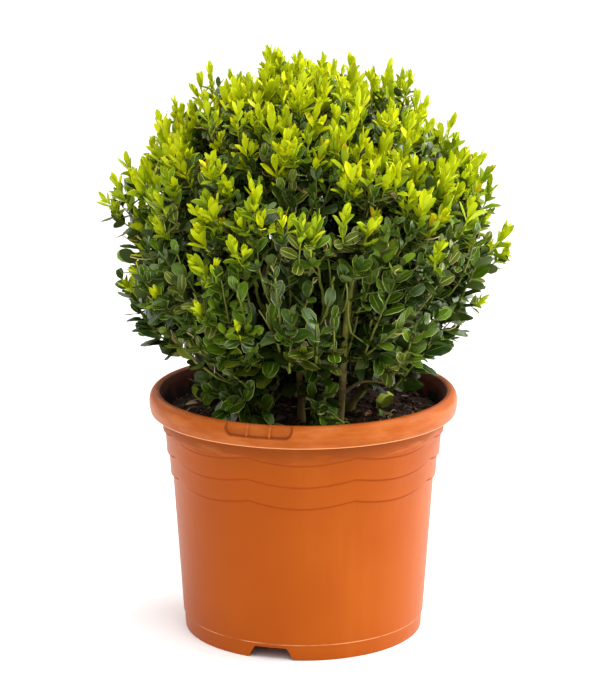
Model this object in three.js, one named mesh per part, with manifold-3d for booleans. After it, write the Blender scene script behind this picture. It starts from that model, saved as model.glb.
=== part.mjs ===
// Clipped box ball (Buxus) growing in a round plastic container pot.
// Millimetres, +Z up. The origin is the centre of the pot's flat underside and the front faces -Y.
// Azimuths are in degrees round the pot's axis: 0 at the front (-Y), 90 at the right (+X).
import * as THREE from 'three';
import { mergeVertices } from 'three/addons/utils/BufferGeometryUtils.js';
import Module from 'manifold-3d';

const wasm = await Module();
wasm.setup();

// ---------------------------------------------------------------- driving dimensions
const GAP = 0.3; // air between pieces that touch

// Pot: a thin moulded shell with a turned-over rim and a foot ring.
const POT_HEIGHT = 191;
const RIM_RADIUS = 120;
const RIM_SKIRT_DROP = 17; // from the top edge to the lower edge of the turned-over rim
const OPENING_RADIUS = 113.2;
const FOOT_RADIUS = 93;
const FOOT_HEIGHT = 13; // a fine ledge runs round the pot at this height
const WALL = 2;
const WALL_SLOPE = 0.068; // how far the wall leans out for each millimetre of height
const FLOOR_TOP = 12;
const POT_SIDES = 48;
const SWAG_LEVELS = [122.5, 140, 157.6]; // heights of the three stepped lines, in their troughs
const SWAG_STEP = 1.65; // each layer stands this far proud of the one below
const SWAG_RISE = 4.6; // from a smooth trough to the pointed crest beside it
const SWAG_COUNT = 8;
const SWAG_AZIMUTH = -1; // a trough lies here
const NOTCH_COUNT = 3;
const NOTCH_AZIMUTH = -15.8;
const NOTCH_WIDTH_BELOW = 34;
const NOTCH_WIDTH_TOP = 24;
const NOTCH_HEIGHT = 9.4;
const DRAIN_COUNT = 6;
const DRAIN_RADIUS = 6;
const DRAIN_CIRCLE = 66;
const LUG_AZIMUTHS = [[-29.6, -21.5], [-20.1, -13], [-11.6, -4]]; // three shallow windows, two ribs
const LUG_DEPTH = 2;
const LUG_HEIGHT = 9.5; // from the top edge down

// Compost and plant.
const SOIL_LEVEL = 172;
const CROWN_CENTRE = new THREE.Vector3(0, 0, 303);
const CROWN_RADIUS = 139;
const CROWN_UNDERSIDE = 212; // lowest level of the ball
const CROWN_HOLLOW = 16; // how far the underside rises towards the middle
const CROWN_EDGE_LIFT = 16; // and towards its outer edge
const CROWN_DETAIL = 8; // each edge of the icosahedron is cut into this many and one

// ---------------------------------------------------------------- helpers
const radians = THREE.MathUtils.degToRad;

// A point at an azimuth, a distance from the pot's axis and a height.
function around(azimuth, distance, height) {
  const angle = radians(azimuth);
  return new THREE.Vector3(distance * Math.sin(angle), -distance * Math.cos(angle), height);
}

// A closed geometry as a solid that can be joined and cut.
function solidOf(geometry) {
  const bare = geometry.clone();
  bare.deleteAttribute('normal');
  bare.deleteAttribute('uv');
  const merged = mergeVertices(bare, 1e-4);
  const corners = merged.index.array;
  const kept = [];
  for (let i = 0; i < corners.length; i += 3) {
    const [a, b, c] = [corners[i], corners[i + 1], corners[i + 2]];
    if (a !== b && b !== c && c !== a) kept.push(a, b, c);
  }
  return new wasm.Manifold(new wasm.Mesh({
    numProp: 3,
    vertProperties: new Float32Array(merged.attributes.position.array),
    triVerts: new Uint32Array(kept),
  }));
}

function geometryOf(solid) {
  const mesh = solid.getMesh();
  const geometry = new THREE.BufferGeometry();
  geometry.setAttribute('position', new THREE.BufferAttribute(mesh.vertProperties, 3));
  geometry.setIndex(new THREE.BufferAttribute(mesh.triVerts, 1));
  return geometry;
}

const plant = new THREE.Group();

function addPart(name, solid, material) {
  const mesh = new THREE.Mesh(geometryOf(solid), material);
  mesh.name = name;
  plant.add(mesh);
}

function matte(color, roughness) {
  return new THREE.MeshStandardMaterial({ color, roughness, metalness: 0 });
}

// A profile of [radius, height] pairs turned round the Z axis.
function turned(profile, sides, startAzimuth = 0) {
  const points = profile.map(([radius, height]) => new THREE.Vector2(radius, height));
  const geometry = new THREE.LatheGeometry(points, sides, radians(startAzimuth));
  return geometry.rotateX(Math.PI / 2);
}

// Smooth unevenness between -1 and 1, with bumps about one unit across.
function unevenness(x, y, z) {
  const broad = Math.sin(2.1 * x + 1.3 * y) * Math.cos(1.7 * z - 0.9 * x);
  const fine = Math.sin(3.9 * y - 2.6 * z + 1.1) * Math.cos(3.3 * x + 0.7);
  return 0.6 * broad + 0.4 * fine;
}

// ---------------------------------------------------------------- pot
// Radius of the outer wall, with the layers that lie proud above each stepped line.
function wallRadius(height, layers) {
  return FOOT_RADIUS + 1.5 + WALL_SLOPE * (height - FOOT_HEIGHT) + layers * SWAG_STEP;
}

// The inside of the wall: a plain taper, then a wider one behind the stepped layers.
const INSIDE = [
  [wallRadius(FLOOR_TOP, 0) - WALL, FLOOR_TOP],
  [wallRadius(SWAG_LEVELS[0], 0) - WALL, SWAG_LEVELS[0]],
  [wallRadius(162, 3) - WALL, 162],
  [wallRadius(184, 3) - WALL, 184],
];

function insideRadius(height) {
  const above = INSIDE.findIndex(([, level]) => level >= height);
  const [r1, z1] = INSIDE[Math.max(above, 1)];
  const [r0, z0] = INSIDE[Math.max(above, 1) - 1];
  return r0 + (r1 - r0) * (height - z0) / (z1 - z0);
}

// Every line of the stepped relief rises and falls in swags: smooth troughs, pointed crests.
function swagRise(azimuth) {
  const phase = radians((azimuth - SWAG_AZIMUTH) * SWAG_COUNT / 2);
  return SWAG_RISE * (1 - Math.abs(Math.cos(phase)));
}

function potShell() {
  const rimBottom = POT_HEIGHT - RIM_SKIRT_DROP;
  const grooveTop = POT_HEIGHT - 7;
  const foot = [
    [0, FLOOR_TOP - WALL], [FOOT_RADIUS - 3, FLOOR_TOP - WALL], [FOOT_RADIUS - 2.6, 0],
    [FOOT_RADIUS, 0], [FOOT_RADIUS + 0.9, FOOT_HEIGHT - 0.8], [wallRadius(FOOT_HEIGHT, 0), FOOT_HEIGHT],
  ];
  const layers = SWAG_LEVELS.flatMap((level, count) => [
    [wallRadius(level, count), level], [wallRadius(level, count + 1), level + 1.2],
  ]);
  const rim = [
    [wallRadius(rimBottom, 3), rimBottom], [wallRadius(grooveTop, 3), grooveTop],
    [RIM_RADIUS - 3.6, grooveTop], [RIM_RADIUS - 3.2, rimBottom], [RIM_RADIUS - 1.4, rimBottom],
    [RIM_RADIUS, POT_HEIGHT - 11], [RIM_RADIUS - 0.8, POT_HEIGHT - 4.6],
    [RIM_RADIUS - 3.4, POT_HEIGHT - 0.9], [OPENING_RADIUS, POT_HEIGHT],
  ];
  const inside = [...INSIDE].reverse();
  const profile = [...foot, ...layers, ...rim, ...inside, [0, FLOOR_TOP]];
  const geometry = turned(profile, POT_SIDES, SWAG_AZIMUTH);

  const position = geometry.attributes.position;
  for (let i = 0; i < position.count; i += 1) {
    const place = i % profile.length;
    const inRelief = place >= foot.length && place < foot.length + layers.length;
    if (!inRelief) continue;
    const azimuth = SWAG_AZIMUTH + 360 / POT_SIDES * Math.floor(i / profile.length);
    const rise = swagRise(azimuth);
    const widen = 1 + WALL_SLOPE * rise / profile[place][0];
    position.setXYZ(i, position.getX(i) * widen, position.getY(i) * widen, position.getZ(i) + rise);
  }
  return solidOf(geometry);
}

// Drainage notch: a low arch with rounded upper corners through the foot ring.
function notchCutter(azimuth) {
  const [below, top, corner] = [NOTCH_WIDTH_BELOW / 2, NOTCH_WIDTH_TOP / 2, 3];
  const arch = new THREE.Shape();
  arch.moveTo(-below - 0.6, -1);
  arch.lineTo(below + 0.6, -1);
  arch.lineTo(top + 1, NOTCH_HEIGHT - corner);
  arch.quadraticCurveTo(top, NOTCH_HEIGHT, top - corner, NOTCH_HEIGHT);
  arch.lineTo(-top + corner, NOTCH_HEIGHT);
  arch.quadraticCurveTo(-top, NOTCH_HEIGHT, -top - 1, NOTCH_HEIGHT - corner);
  arch.closePath();
  const geometry = new THREE.ExtrudeGeometry(arch, { depth: 24, bevelEnabled: false, curveSegments: 3 });
  geometry.rotateX(Math.PI / 2).translate(0, 12 - FOOT_RADIUS, 0).rotateZ(radians(azimuth));
  return solidOf(geometry);
}

function drainCutter(azimuth) {
  const centre = around(azimuth, DRAIN_CIRCLE, FLOOR_TOP - WALL / 2);
  const geometry = new THREE.CylinderGeometry(DRAIN_RADIUS, DRAIN_RADIUS, 3 * WALL, 10);
  return solidOf(geometry.rotateX(Math.PI / 2).translate(centre.x, centre.y, centre.z));
}

// Window of the lifting lug: a shallow sector let into the rim's outer face, open at the top.
function lugCutter([from, to]) {
  const sector = new THREE.Shape();
  const [start, end] = [radians(from - 90), radians(to - 90)];
  sector.absarc(0, 0, RIM_RADIUS + 4, start, end, false);
  sector.absarc(0, 0, RIM_RADIUS - LUG_DEPTH, end, start, true);
  sector.closePath();
  const settings = { depth: LUG_HEIGHT + 1, bevelEnabled: false, curveSegments: 2 };
  const geometry = new THREE.ExtrudeGeometry(sector, settings);
  return solidOf(geometry.translate(0, 0, POT_HEIGHT - LUG_HEIGHT));
}

function makePot() {
  let pot = potShell();
  for (let i = 0; i < NOTCH_COUNT; i += 1) {
    pot = pot.subtract(notchCutter(NOTCH_AZIMUTH + i * 360 / NOTCH_COUNT));
  }
  for (let i = 0; i < DRAIN_COUNT; i += 1) {
    pot = pot.subtract(drainCutter(i * 360 / DRAIN_COUNT));
  }
  for (const window of LUG_AZIMUTHS) pot = pot.subtract(lugCutter(window));
  return pot;
}

addPart('pot', makePot(), matte(0xc8632a, 0.42));

// ---------------------------------------------------------------- limbs
// A limb is a tapering round bar bent along a curve. The grown copy of a limb, wider and longer
// by the gap, is what its neighbours are cut back from.
function limbGeometry(limb, grow) {
  const { spine, root, tip, flare, rings, sides } = limb;
  const profile = [new THREE.Vector2(0, 0)];
  for (let ring = 0; ring <= rings; ring += 1) {
    const along = ring / rings;
    const spread = flare * Math.exp(-along * spine.getLength() / 5);
    profile.push(new THREE.Vector2(root + (tip - root) * along + spread + grow, ring));
  }
  profile.push(new THREE.Vector2(0, rings));
  const geometry = new THREE.LatheGeometry(profile, sides);
  const { tangents, normals, binormals } = spine.computeFrenetFrames(rings, false);
  const position = geometry.attributes.position;
  for (let i = 0; i < position.count; i += 1) {
    const ring = Math.round(position.getY(i));
    const place = spine.getPointAt(ring / rings);
    const end = ring === 0 ? -1 : Number(ring === rings);
    place.addScaledVector(tangents[ring], end * grow);
    place.addScaledVector(normals[ring], position.getX(i));
    place.addScaledVector(binormals[ring], -position.getZ(i));
    if (flare > 0 && ring === 0) place.z = spine.getPointAt(0).z - grow;
    position.setXYZ(i, place.x, place.y, place.z);
  }
  return geometry;
}

// Stems stand round the middle of the pot and lean outwards. Each has a flat foot in the compost,
// a root flare and a fork at its top.
// Foot and fork are distances from the pot's axis, and turn is how far the stem swings round it.
const STEMS = [
  { name: 'front', azimuth: -4, foot: 24, fork: 50, top: 238, root: 3.1, turn: -1 },
  { name: 'front_right', azimuth: 31, foot: 51, fork: 97, top: 300, root: 3.7, turn: -9 },
  { name: 'right', azimuth: 84, foot: 36, fork: 60, top: 212, root: 3.2, turn: 4 },
  { name: 'back_right', azimuth: 142, foot: 34, fork: 58, top: 216, root: 3.4, turn: -5 },
  { name: 'back', azimuth: 192, foot: 36, fork: 56, top: 213, root: 3, turn: 4 },
  { name: 'left', azimuth: 262, foot: 40, fork: 64, top: 211, root: 3.3, turn: 6 },
  { name: 'front_left', azimuth: 316, foot: 38, fork: 60, top: 214, root: 3, turn: -4 },
];
const STEM_FOOT_LEVEL = SOIL_LEVEL - 1.5;
const STEM_FLARE = 2.2;
const STEM_TAPER = 0.72; // radius at the fork over radius above the flare
const FORK_SPREAD = 15; // azimuth between a stem and each of its two boughs
const FORK_REACH = 30; // how far out the boughs of a fork run
const FORK_RISE = 26; // and how far up, into the ball
const FORK_LIMIT = 112; // the boughs stop short of the ball's surface
const BOUGH_TAPER = 0.62;

function stemLimb({ azimuth, foot, fork, top, root, turn }) {
  const spine = new THREE.CatmullRomCurve3([[0, 0, 0], [0.12, 0.22, 0], [0.52, 0.6, 0.75], [1, 1, 1]].map(
    ([out, up, round]) => around(
      azimuth + round * turn,
      foot + out * (fork - foot),
      STEM_FOOT_LEVEL + up * (top - STEM_FOOT_LEVEL),
    ),
  ));
  return { spine, root, tip: root * STEM_TAPER, flare: STEM_FLARE, rings: 6, sides: 7 };
}

// One of the two boughs of a fork; side is -1 or 1.
function forkLimb(stem, stemSpine, side) {
  const start = stemSpine.getPointAt(0.95);
  const root = stem.root * STEM_TAPER * 0.92;
  const distance = Math.min(stem.fork + FORK_REACH, FORK_LIMIT);
  const end = around(stem.azimuth + stem.turn + side * FORK_SPREAD, distance, stem.top + FORK_RISE);
  const middle = start.clone().lerp(end, 0.45).add(new THREE.Vector3(0, 0, 5));
  const spine = new THREE.CatmullRomCurve3([start, middle, end]);
  return { spine, root, tip: root * BOUGH_TAPER, flare: 0, rings: 2, sides: 6 };
}

// Loose foliage hangs between the ball and the rim, each mass on a low bough that leaves its stem
// a part of the way along it. Size is the half-length round the pot, outwards and up.
const SKIRTS = [
  { name: 'front_left', azimuth: 322, distance: 78, level: 199, size: [34, 24, 19], stem: 6, along: 0.42 },
  { name: 'front', azimuth: 9, distance: 72, level: 196, size: [19, 20, 16], stem: 0, along: 0.28 },
  { name: 'front_right', azimuth: 52, distance: 82, level: 206, size: [24, 20, 13], stem: 1, along: 0.2 },
  { name: 'right', azimuth: 92, distance: 80, level: 201, size: [25, 20, 13], stem: 2, along: 0.42 },
  { name: 'back_right', azimuth: 140, distance: 80, level: 200, size: [29, 23, 17], stem: 3, along: 0.42 },
  { name: 'back', azimuth: 187, distance: 78, level: 199, size: [29, 24, 18], stem: 4, along: 0.42 },
  { name: 'back_left', azimuth: 232, distance: 80, level: 201, size: [26, 22, 16], stem: 5, along: 0.62 },
  { name: 'left', azimuth: 275, distance: 78, level: 198, size: [27, 21, 15], stem: 5, along: 0.42 },
];

function skirtLimb(skirt, stemSpine) {
  const start = stemSpine.getPointAt(skirt.along);
  const end = around(skirt.azimuth, skirt.distance - 2, skirt.level + 1);
  const middle = start.clone().lerp(end, 0.5).add(new THREE.Vector3(0, 0, 6));
  const spine = new THREE.CatmullRomCurve3([start, middle, end]);
  return { spine, root: 1.7, tip: 1.1, flare: 0, rings: 2, sides: 5 };
}

const bark = matte(0x6b5a34, 0.85);
const youngBark = matte(0x7c7a3a, 0.75);
const limbs = []; // each { name, limb, material }
STEMS.forEach((stem) => limbs.push({ name: `stem_${stem.name}`, limb: stemLimb(stem), material: bark }));
const stemSpines = limbs.map(({ limb }) => limb.spine);
STEMS.forEach((stem, index) => {
  [['a', -1], ['b', 1]].forEach(([letter, side]) => {
    const limb = forkLimb(stem, stemSpines[index], side);
    limbs.push({ name: `bough_${stem.name}_${letter}`, limb, material: bark });
  });
});
SKIRTS.forEach((skirt) => {
  const limb = skirtLimb(skirt, stemSpines[skirt.stem]);
  limbs.push({ name: `low_bough_${skirt.name}`, limb, material: youngBark });
});

// Each limb is cut back from every limb made before it, so that a fork closes with the gap.
let grownLimbs = null;
for (const { name, limb, material } of limbs) {
  const whole = solidOf(limbGeometry(limb, 0));
  const grown = solidOf(limbGeometry(limb, GAP));
  addPart(name, grownLimbs ? whole.subtract(grownLimbs) : whole, material);
  grownLimbs = grownLimbs ? grownLimbs.add(grown) : grown;
}

// ---------------------------------------------------------------- compost
// Moist compost fills the pot to just under the rim, with an uneven top round the stems' feet.
function makeCompost() {
  const sides = 24;
  const fit = Math.cos(Math.PI / POT_SIDES);
  const wallAt = (height) => insideRadius(height) * fit - GAP;
  const topRings = [108, 86, 58, 30];
  const profile = [
    [0, FLOOR_TOP + GAP], [wallAt(FLOOR_TOP + GAP), FLOOR_TOP + GAP],
    [wallAt(SWAG_LEVELS[0]), SWAG_LEVELS[0]], [wallAt(162), 162],
    ...topRings.map((radius) => [Math.min(radius, wallAt(SOIL_LEVEL - 3)), SOIL_LEVEL]), [0, SOIL_LEVEL],
  ];
  const geometry = turned(profile, sides);
  const position = geometry.attributes.position;
  for (let i = 0; i < position.count; i += 1) {
    if (position.getZ(i) < SOIL_LEVEL) continue;
    const bump = unevenness(position.getX(i) / 16, position.getY(i) / 16, 0);
    position.setZ(i, SOIL_LEVEL + 2.4 * bump - 0.6);
  }
  return solidOf(geometry).subtract(grownLimbs);
}

addPart('compost', makeCompost(), matte(0x2a1e17, 0.95));

// ---------------------------------------------------------------- crown
// The clipped ball is one closed mass. Its shoots stand out of the shears' surface as peaks: a few
// set the outline, as [azimuth, elevation, reach] from the ball's centre, and tufts come between.
const OUTLINE_SHOOTS = [
  [270, 81, 160], [268, 63, 161], [90, 76, 154], [90, 62, 160], [90, 52, 151], [270, 43, 153],
  [270, 26, 154], [90, 28, 155], [90, 17, 155], [270, 15.6, 166.1], [90, 2.2, 160.1], [270, -3, 146],
  [90, -15, 151], [0, 20, 160], [2, -8, 145], [180, 16, 156.4], [0, 66, 156], [180, 66, 156],
].map(([azimuth, elevation, reach]) => ({
  way: around(azimuth, Math.cos(radians(elevation)), Math.sin(radians(elevation))), reach,
}));
const TUFT_HEIGHT = 19;
const PARTING_AZIMUTH = 22; // the leaves part here, from the lower edge up, and show a stem
const PARTING_DEPTH = 50;
const PARTING_WIDTH = 8; // in degrees of azimuth

// Where the leaves part, the surface draws back towards the pot's axis.
function partingDepth(way) {
  const azimuth = THREE.MathUtils.radToDeg(Math.atan2(way.x, -way.y));
  const across = (azimuth - PARTING_AZIMUTH) / PARTING_WIDTH;
  return PARTING_DEPTH * THREE.MathUtils.smoothstep(-way.z, -0.12, 0.12) * Math.exp(-across * across);
}

// Broad swells of the clipped surface, with tufts that grow taller towards the light.
function crownRadius(way) {
  const swell = 4 * unevenness(way.x * 4, way.y * 4, way.z * 4);
  const tuft = Math.max(0, unevenness(way.x * 19, way.y * 19, way.z * 19));
  return CROWN_RADIUS + swell + TUFT_HEIGHT * (0.75 + 0.35 * way.z) * tuft - partingDepth(way);
}

function undersideLevel(distance) {
  const hollow = CROWN_HOLLOW * Math.exp(-((distance / 62) ** 2));
  return CROWN_UNDERSIDE + hollow + CROWN_EDGE_LIFT * THREE.MathUtils.smoothstep(distance, 80, 112);
}

function crownGeometry(grow) {
  const geometry = new THREE.IcosahedronGeometry(1, CROWN_DETAIL);
  const position = geometry.attributes.position;
  const corners = [];
  for (let i = 0; i < position.count; i += 1) {
    corners.push(new THREE.Vector3().fromBufferAttribute(position, i).normalize());
  }
  // the corner nearest to each outline shoot is turned onto its tip
  const tips = OUTLINE_SHOOTS.map(({ way, reach }) => {
    const nearest = corners.reduce((best, corner) => (corner.angleTo(way) < best.angleTo(way) ? corner : best));
    return { corner: nearest.clone(), tip: way.clone().multiplyScalar(reach) };
  });
  corners.forEach((way, i) => {
    const shoot = tips.find(({ corner }) => corner.angleTo(way) < 1e-3);
    const place = shoot ? shoot.tip.clone() : way.clone().multiplyScalar(crownRadius(way));
    const low = undersideLevel(Math.hypot(place.x, place.y)) - CROWN_CENTRE.z;
    if (place.z < low) place.multiplyScalar(low / place.z);
    place.multiplyScalar(1 + grow / CROWN_RADIUS).add(CROWN_CENTRE);
    position.setXYZ(i, place.x, place.y, place.z);
  });
  return geometry;
}

const leaves = matte(0x5f8f1e, 0.7);
const lowLeaves = matte(0x3d5a22, 0.7);
addPart('crown_ball', solidOf(crownGeometry(0)).subtract(grownLimbs), leaves);

// Each loose mass is uneven in its own way and is cut back from the limbs and the ball.
const grownCrown = solidOf(crownGeometry(3 * GAP));

function makeSkirt({ azimuth, distance, level, size: [round, out, up] }, seed) {
  const geometry = new THREE.IcosahedronGeometry(1, 2);
  const position = geometry.attributes.position;
  for (let i = 0; i < position.count; i += 1) {
    const way = new THREE.Vector3().fromBufferAttribute(position, i).normalize();
    const swell = 1 + 0.2 * unevenness(way.x * 4 + seed, way.y * 4, way.z * 4 - seed);
    position.setXYZ(i, way.x * round * swell, way.y * out * swell, way.z * up * swell);
  }
  const centre = around(azimuth, distance, level);
  geometry.rotateZ(radians(azimuth)).translate(centre.x, centre.y, centre.z);
  return solidOf(geometry).subtract(grownLimbs).subtract(grownCrown);
}

SKIRTS.forEach((skirt, index) => addPart(`foliage_${skirt.name}`, makeSkirt(skirt, index), lowLeaves));

export default plant;
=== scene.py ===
# Clipped box ball (Buxus) growing in a round orange container pot.
# Metres, Z up. The origin is the centre of the pot's flat underside and the front faces -Y.
# Azimuths are in degrees round the pot's axis: 0 at the front (-Y), 90 at the right (+X).
import math
import random

import bpy
import numpy as np
from mathutils import Matrix, Vector, noise
from mathutils.bvhtree import BVHTree


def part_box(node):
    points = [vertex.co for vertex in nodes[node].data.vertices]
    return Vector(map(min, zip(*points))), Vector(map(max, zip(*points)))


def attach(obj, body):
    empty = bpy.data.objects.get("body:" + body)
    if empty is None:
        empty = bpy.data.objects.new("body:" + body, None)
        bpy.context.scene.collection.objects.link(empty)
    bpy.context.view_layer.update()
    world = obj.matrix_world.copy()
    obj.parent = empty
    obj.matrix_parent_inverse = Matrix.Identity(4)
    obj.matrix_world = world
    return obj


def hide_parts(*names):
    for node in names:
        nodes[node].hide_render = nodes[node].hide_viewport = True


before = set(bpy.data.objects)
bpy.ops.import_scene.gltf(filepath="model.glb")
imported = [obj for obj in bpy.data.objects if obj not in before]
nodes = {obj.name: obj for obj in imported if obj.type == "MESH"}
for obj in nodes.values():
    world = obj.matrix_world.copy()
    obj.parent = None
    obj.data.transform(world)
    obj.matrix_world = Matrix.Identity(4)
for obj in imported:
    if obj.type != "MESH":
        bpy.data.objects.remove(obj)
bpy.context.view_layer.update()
MM = 0.001

# ---------------------------------------------------------------- pot
# A thin injection-moulded container of orange polypropylene: a tapered wall with three stepped,
# swagged layers under a turned-over rim, a pocketed lug let into the rim, and a foot ring cut by
# three drainage notches round a raised, drilled floor. Its sizes are in millimetres.
POT_HEIGHT = 191.0
RIM_RADIUS = 120.0
RIM_BOTTOM = 174.0
OPENING_RADIUS = 113.2
FOOT_RADIUS = 93.0
FOOT_HEIGHT = 13.0
WALL = 2.0
WALL_SLOPE = 0.068
FLOOR_TOP = 12.0
FLOOR_UNDERSIDE = FLOOR_TOP - WALL
FLOOR_RINGS = (30.0, 50.0, 78.0)
SWAG_LEVELS = (122.5, 140.0, 157.6)
LAYERS = len(SWAG_LEVELS)
SWAG_STEP = 1.65
SWAG_RISE = 4.6
SWAG_COUNT = 8
SWAG_AZIMUTH = -1.0
NOTCH_AZIMUTHS = (-15.8, 104.2, 224.2)
NOTCH_HALF_BELOW = 17.6
NOTCH_HALF_TOP = 13.0
NOTCH_HEIGHT = 9.4
NOTCH_ROUNDING = 1.3
DRAIN_COUNT = 6
DRAIN_SIDES = 28
DRAIN_RADIUS = 6.0
DRAIN_CIRCLE = 66.0
LUG_FROM, LUG_TO = -29.6, -4.0
LUG_RIBS = (-20.8, -12.3)
LUG_RIB_HALF_WIDTH = 0.85
LUG_DEPTH = 2.0
LUG_LEVELS = (181.3, 190.3)
LUG_CORNER = 6.0
LUG_MIDDLE = (LUG_FROM + LUG_TO) / 2
RIM_ARC = math.radians(1.0) * RIM_RADIUS
LUG_HALF_WIDTH = (LUG_TO - LUG_FROM) / 2 * RIM_ARC
LUG_FACE_RADIUS = 117.0
LUG_FACE_TOP = 190.0
BODY_WITHIN, FACE_BEYOND = 114.0, 115.5
# steps between columns in degrees, and longest steps between rows
COLUMN_STEP, LUG_COLUMN_STEP, NOTCH_COLUMN_STEP = 1.8, 0.3, 0.4
ROW_STEP, LUG_ROW_STEP, INSIDE_ROW_STEP = 7.5, 0.6, 12.0


def wall_radius(height, layers=0):
    """Radius of the outer wall, with the layers that lie proud above each stepped line."""
    return FOOT_RADIUS + 1.5 + WALL_SLOPE * (height - FOOT_HEIGHT) + layers * SWAG_STEP


def rounded(corners, arc_points=3):
    """A profile through [radius, height, rounding] corners, with an arc at each inner corner."""
    places = [Vector((r, z)) for r, z, _ in corners]
    line = [places[0]]
    for before, here, after, (_, _, rounding) in zip(places, places[1:], places[2:], corners[1:-1]):
        back = before - here
        ahead = after - here
        cut = min(rounding, 0.45 * back.length, 0.45 * ahead.length)
        start = here + back.normalized() * cut
        end = here + ahead.normalized() * cut
        for step in range(arc_points + 1):
            t = step / arc_points
            line.append(start * (1 - t) ** 2 + here * (2 * t * (1 - t)) + end * t ** 2)
    line.append(places[-1])
    return line


def filled_in(line, longest):
    """The same profile with points added so that no step is longer than the given one."""
    dense = [line[0]]
    for start, end in zip(line, line[1:]):
        count = max(1, math.ceil((end - start).length / longest))
        dense += [start.lerp(end, step / count) for step in range(1, count + 1)]
    return dense


def smooth_step(low, high, x):
    t = np.clip((x - low) / (high - low), 0.0, 1.0)
    return t * t * (3.0 - 2.0 * t)


def azimuth_gap(azimuth, centre):
    return (azimuth - centre + 180.0) % 360.0 - 180.0


def swag_rise(azimuth):
    """Smooth troughs and pointed crests, evenly round the pot."""
    phase = np.radians((azimuth - SWAG_AZIMUTH) * SWAG_COUNT / 2)
    return SWAG_RISE * (1.0 - np.abs(np.cos(phase)))


def lug_depth(azimuth, height):
    """How far the lug's windows are let into the rim, as a rounded box with two ribs left in it."""
    low, high = LUG_LEVELS
    across = np.abs(azimuth_gap(azimuth, LUG_MIDDLE)) * RIM_ARC - (LUG_HALF_WIDTH - LUG_CORNER)
    down = (low + LUG_CORNER) - height
    outside = np.hypot(np.maximum(across, 0), np.maximum(down, 0)) - LUG_CORNER
    outside = np.maximum(outside, height - high)
    window = smooth_step(0.35, -0.35, outside)
    for rib in LUG_RIBS:
        away = np.abs(azimuth_gap(azimuth, rib)) * RIM_ARC
        window = window * smooth_step(LUG_RIB_HALF_WIDTH - 0.3, LUG_RIB_HALF_WIDTH + 0.35, away)
    return LUG_DEPTH * window


def notch_top(azimuth):
    """Height of the foot ring's lower edge, which steps up over each drainage notch."""
    level = np.zeros_like(azimuth)
    soft = NOTCH_ROUNDING
    for centre in NOTCH_AZIMUTHS:
        gap = azimuth_gap(azimuth, centre)
        across = np.where(np.abs(gap) < 60, FOOT_RADIUS * np.abs(np.sin(np.radians(gap))), 99.0)
        slope = (NOTCH_HALF_BELOW - across) / (NOTCH_HALF_BELOW - NOTCH_HALF_TOP) * NOTCH_HEIGHT
        under = -soft * np.logaddexp(-slope / soft, -NOTCH_HEIGHT / soft)
        level = np.maximum(level, soft * 0.6 * np.logaddexp(0.0, under / (soft * 0.6)))
    return level


def pot_columns():
    """Azimuths of the pot's columns, closer together at the lug and round the notches."""
    lug = np.arange(LUG_FROM - 0.6, LUG_TO + 0.8, LUG_COLUMN_STEP)
    columns = [*np.arange(-180.0, 180.0, COLUMN_STEP), *lug]
    edge = math.degrees(NOTCH_HALF_BELOW / FOOT_RADIUS)
    for centre in NOTCH_AZIMUTHS:
        middle = azimuth_gap(centre, 0.0)
        for side in (-1, 1):
            columns += [middle + side * (edge - 4.9 + NOTCH_COLUMN_STEP * step) for step in range(16)]
    columns = np.unique(np.round((np.array(columns) + 180.0) % 360.0 - 180.0, 2))
    keep = np.concatenate([[True], np.diff(columns) > 0.12])
    return columns[keep]


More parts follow.
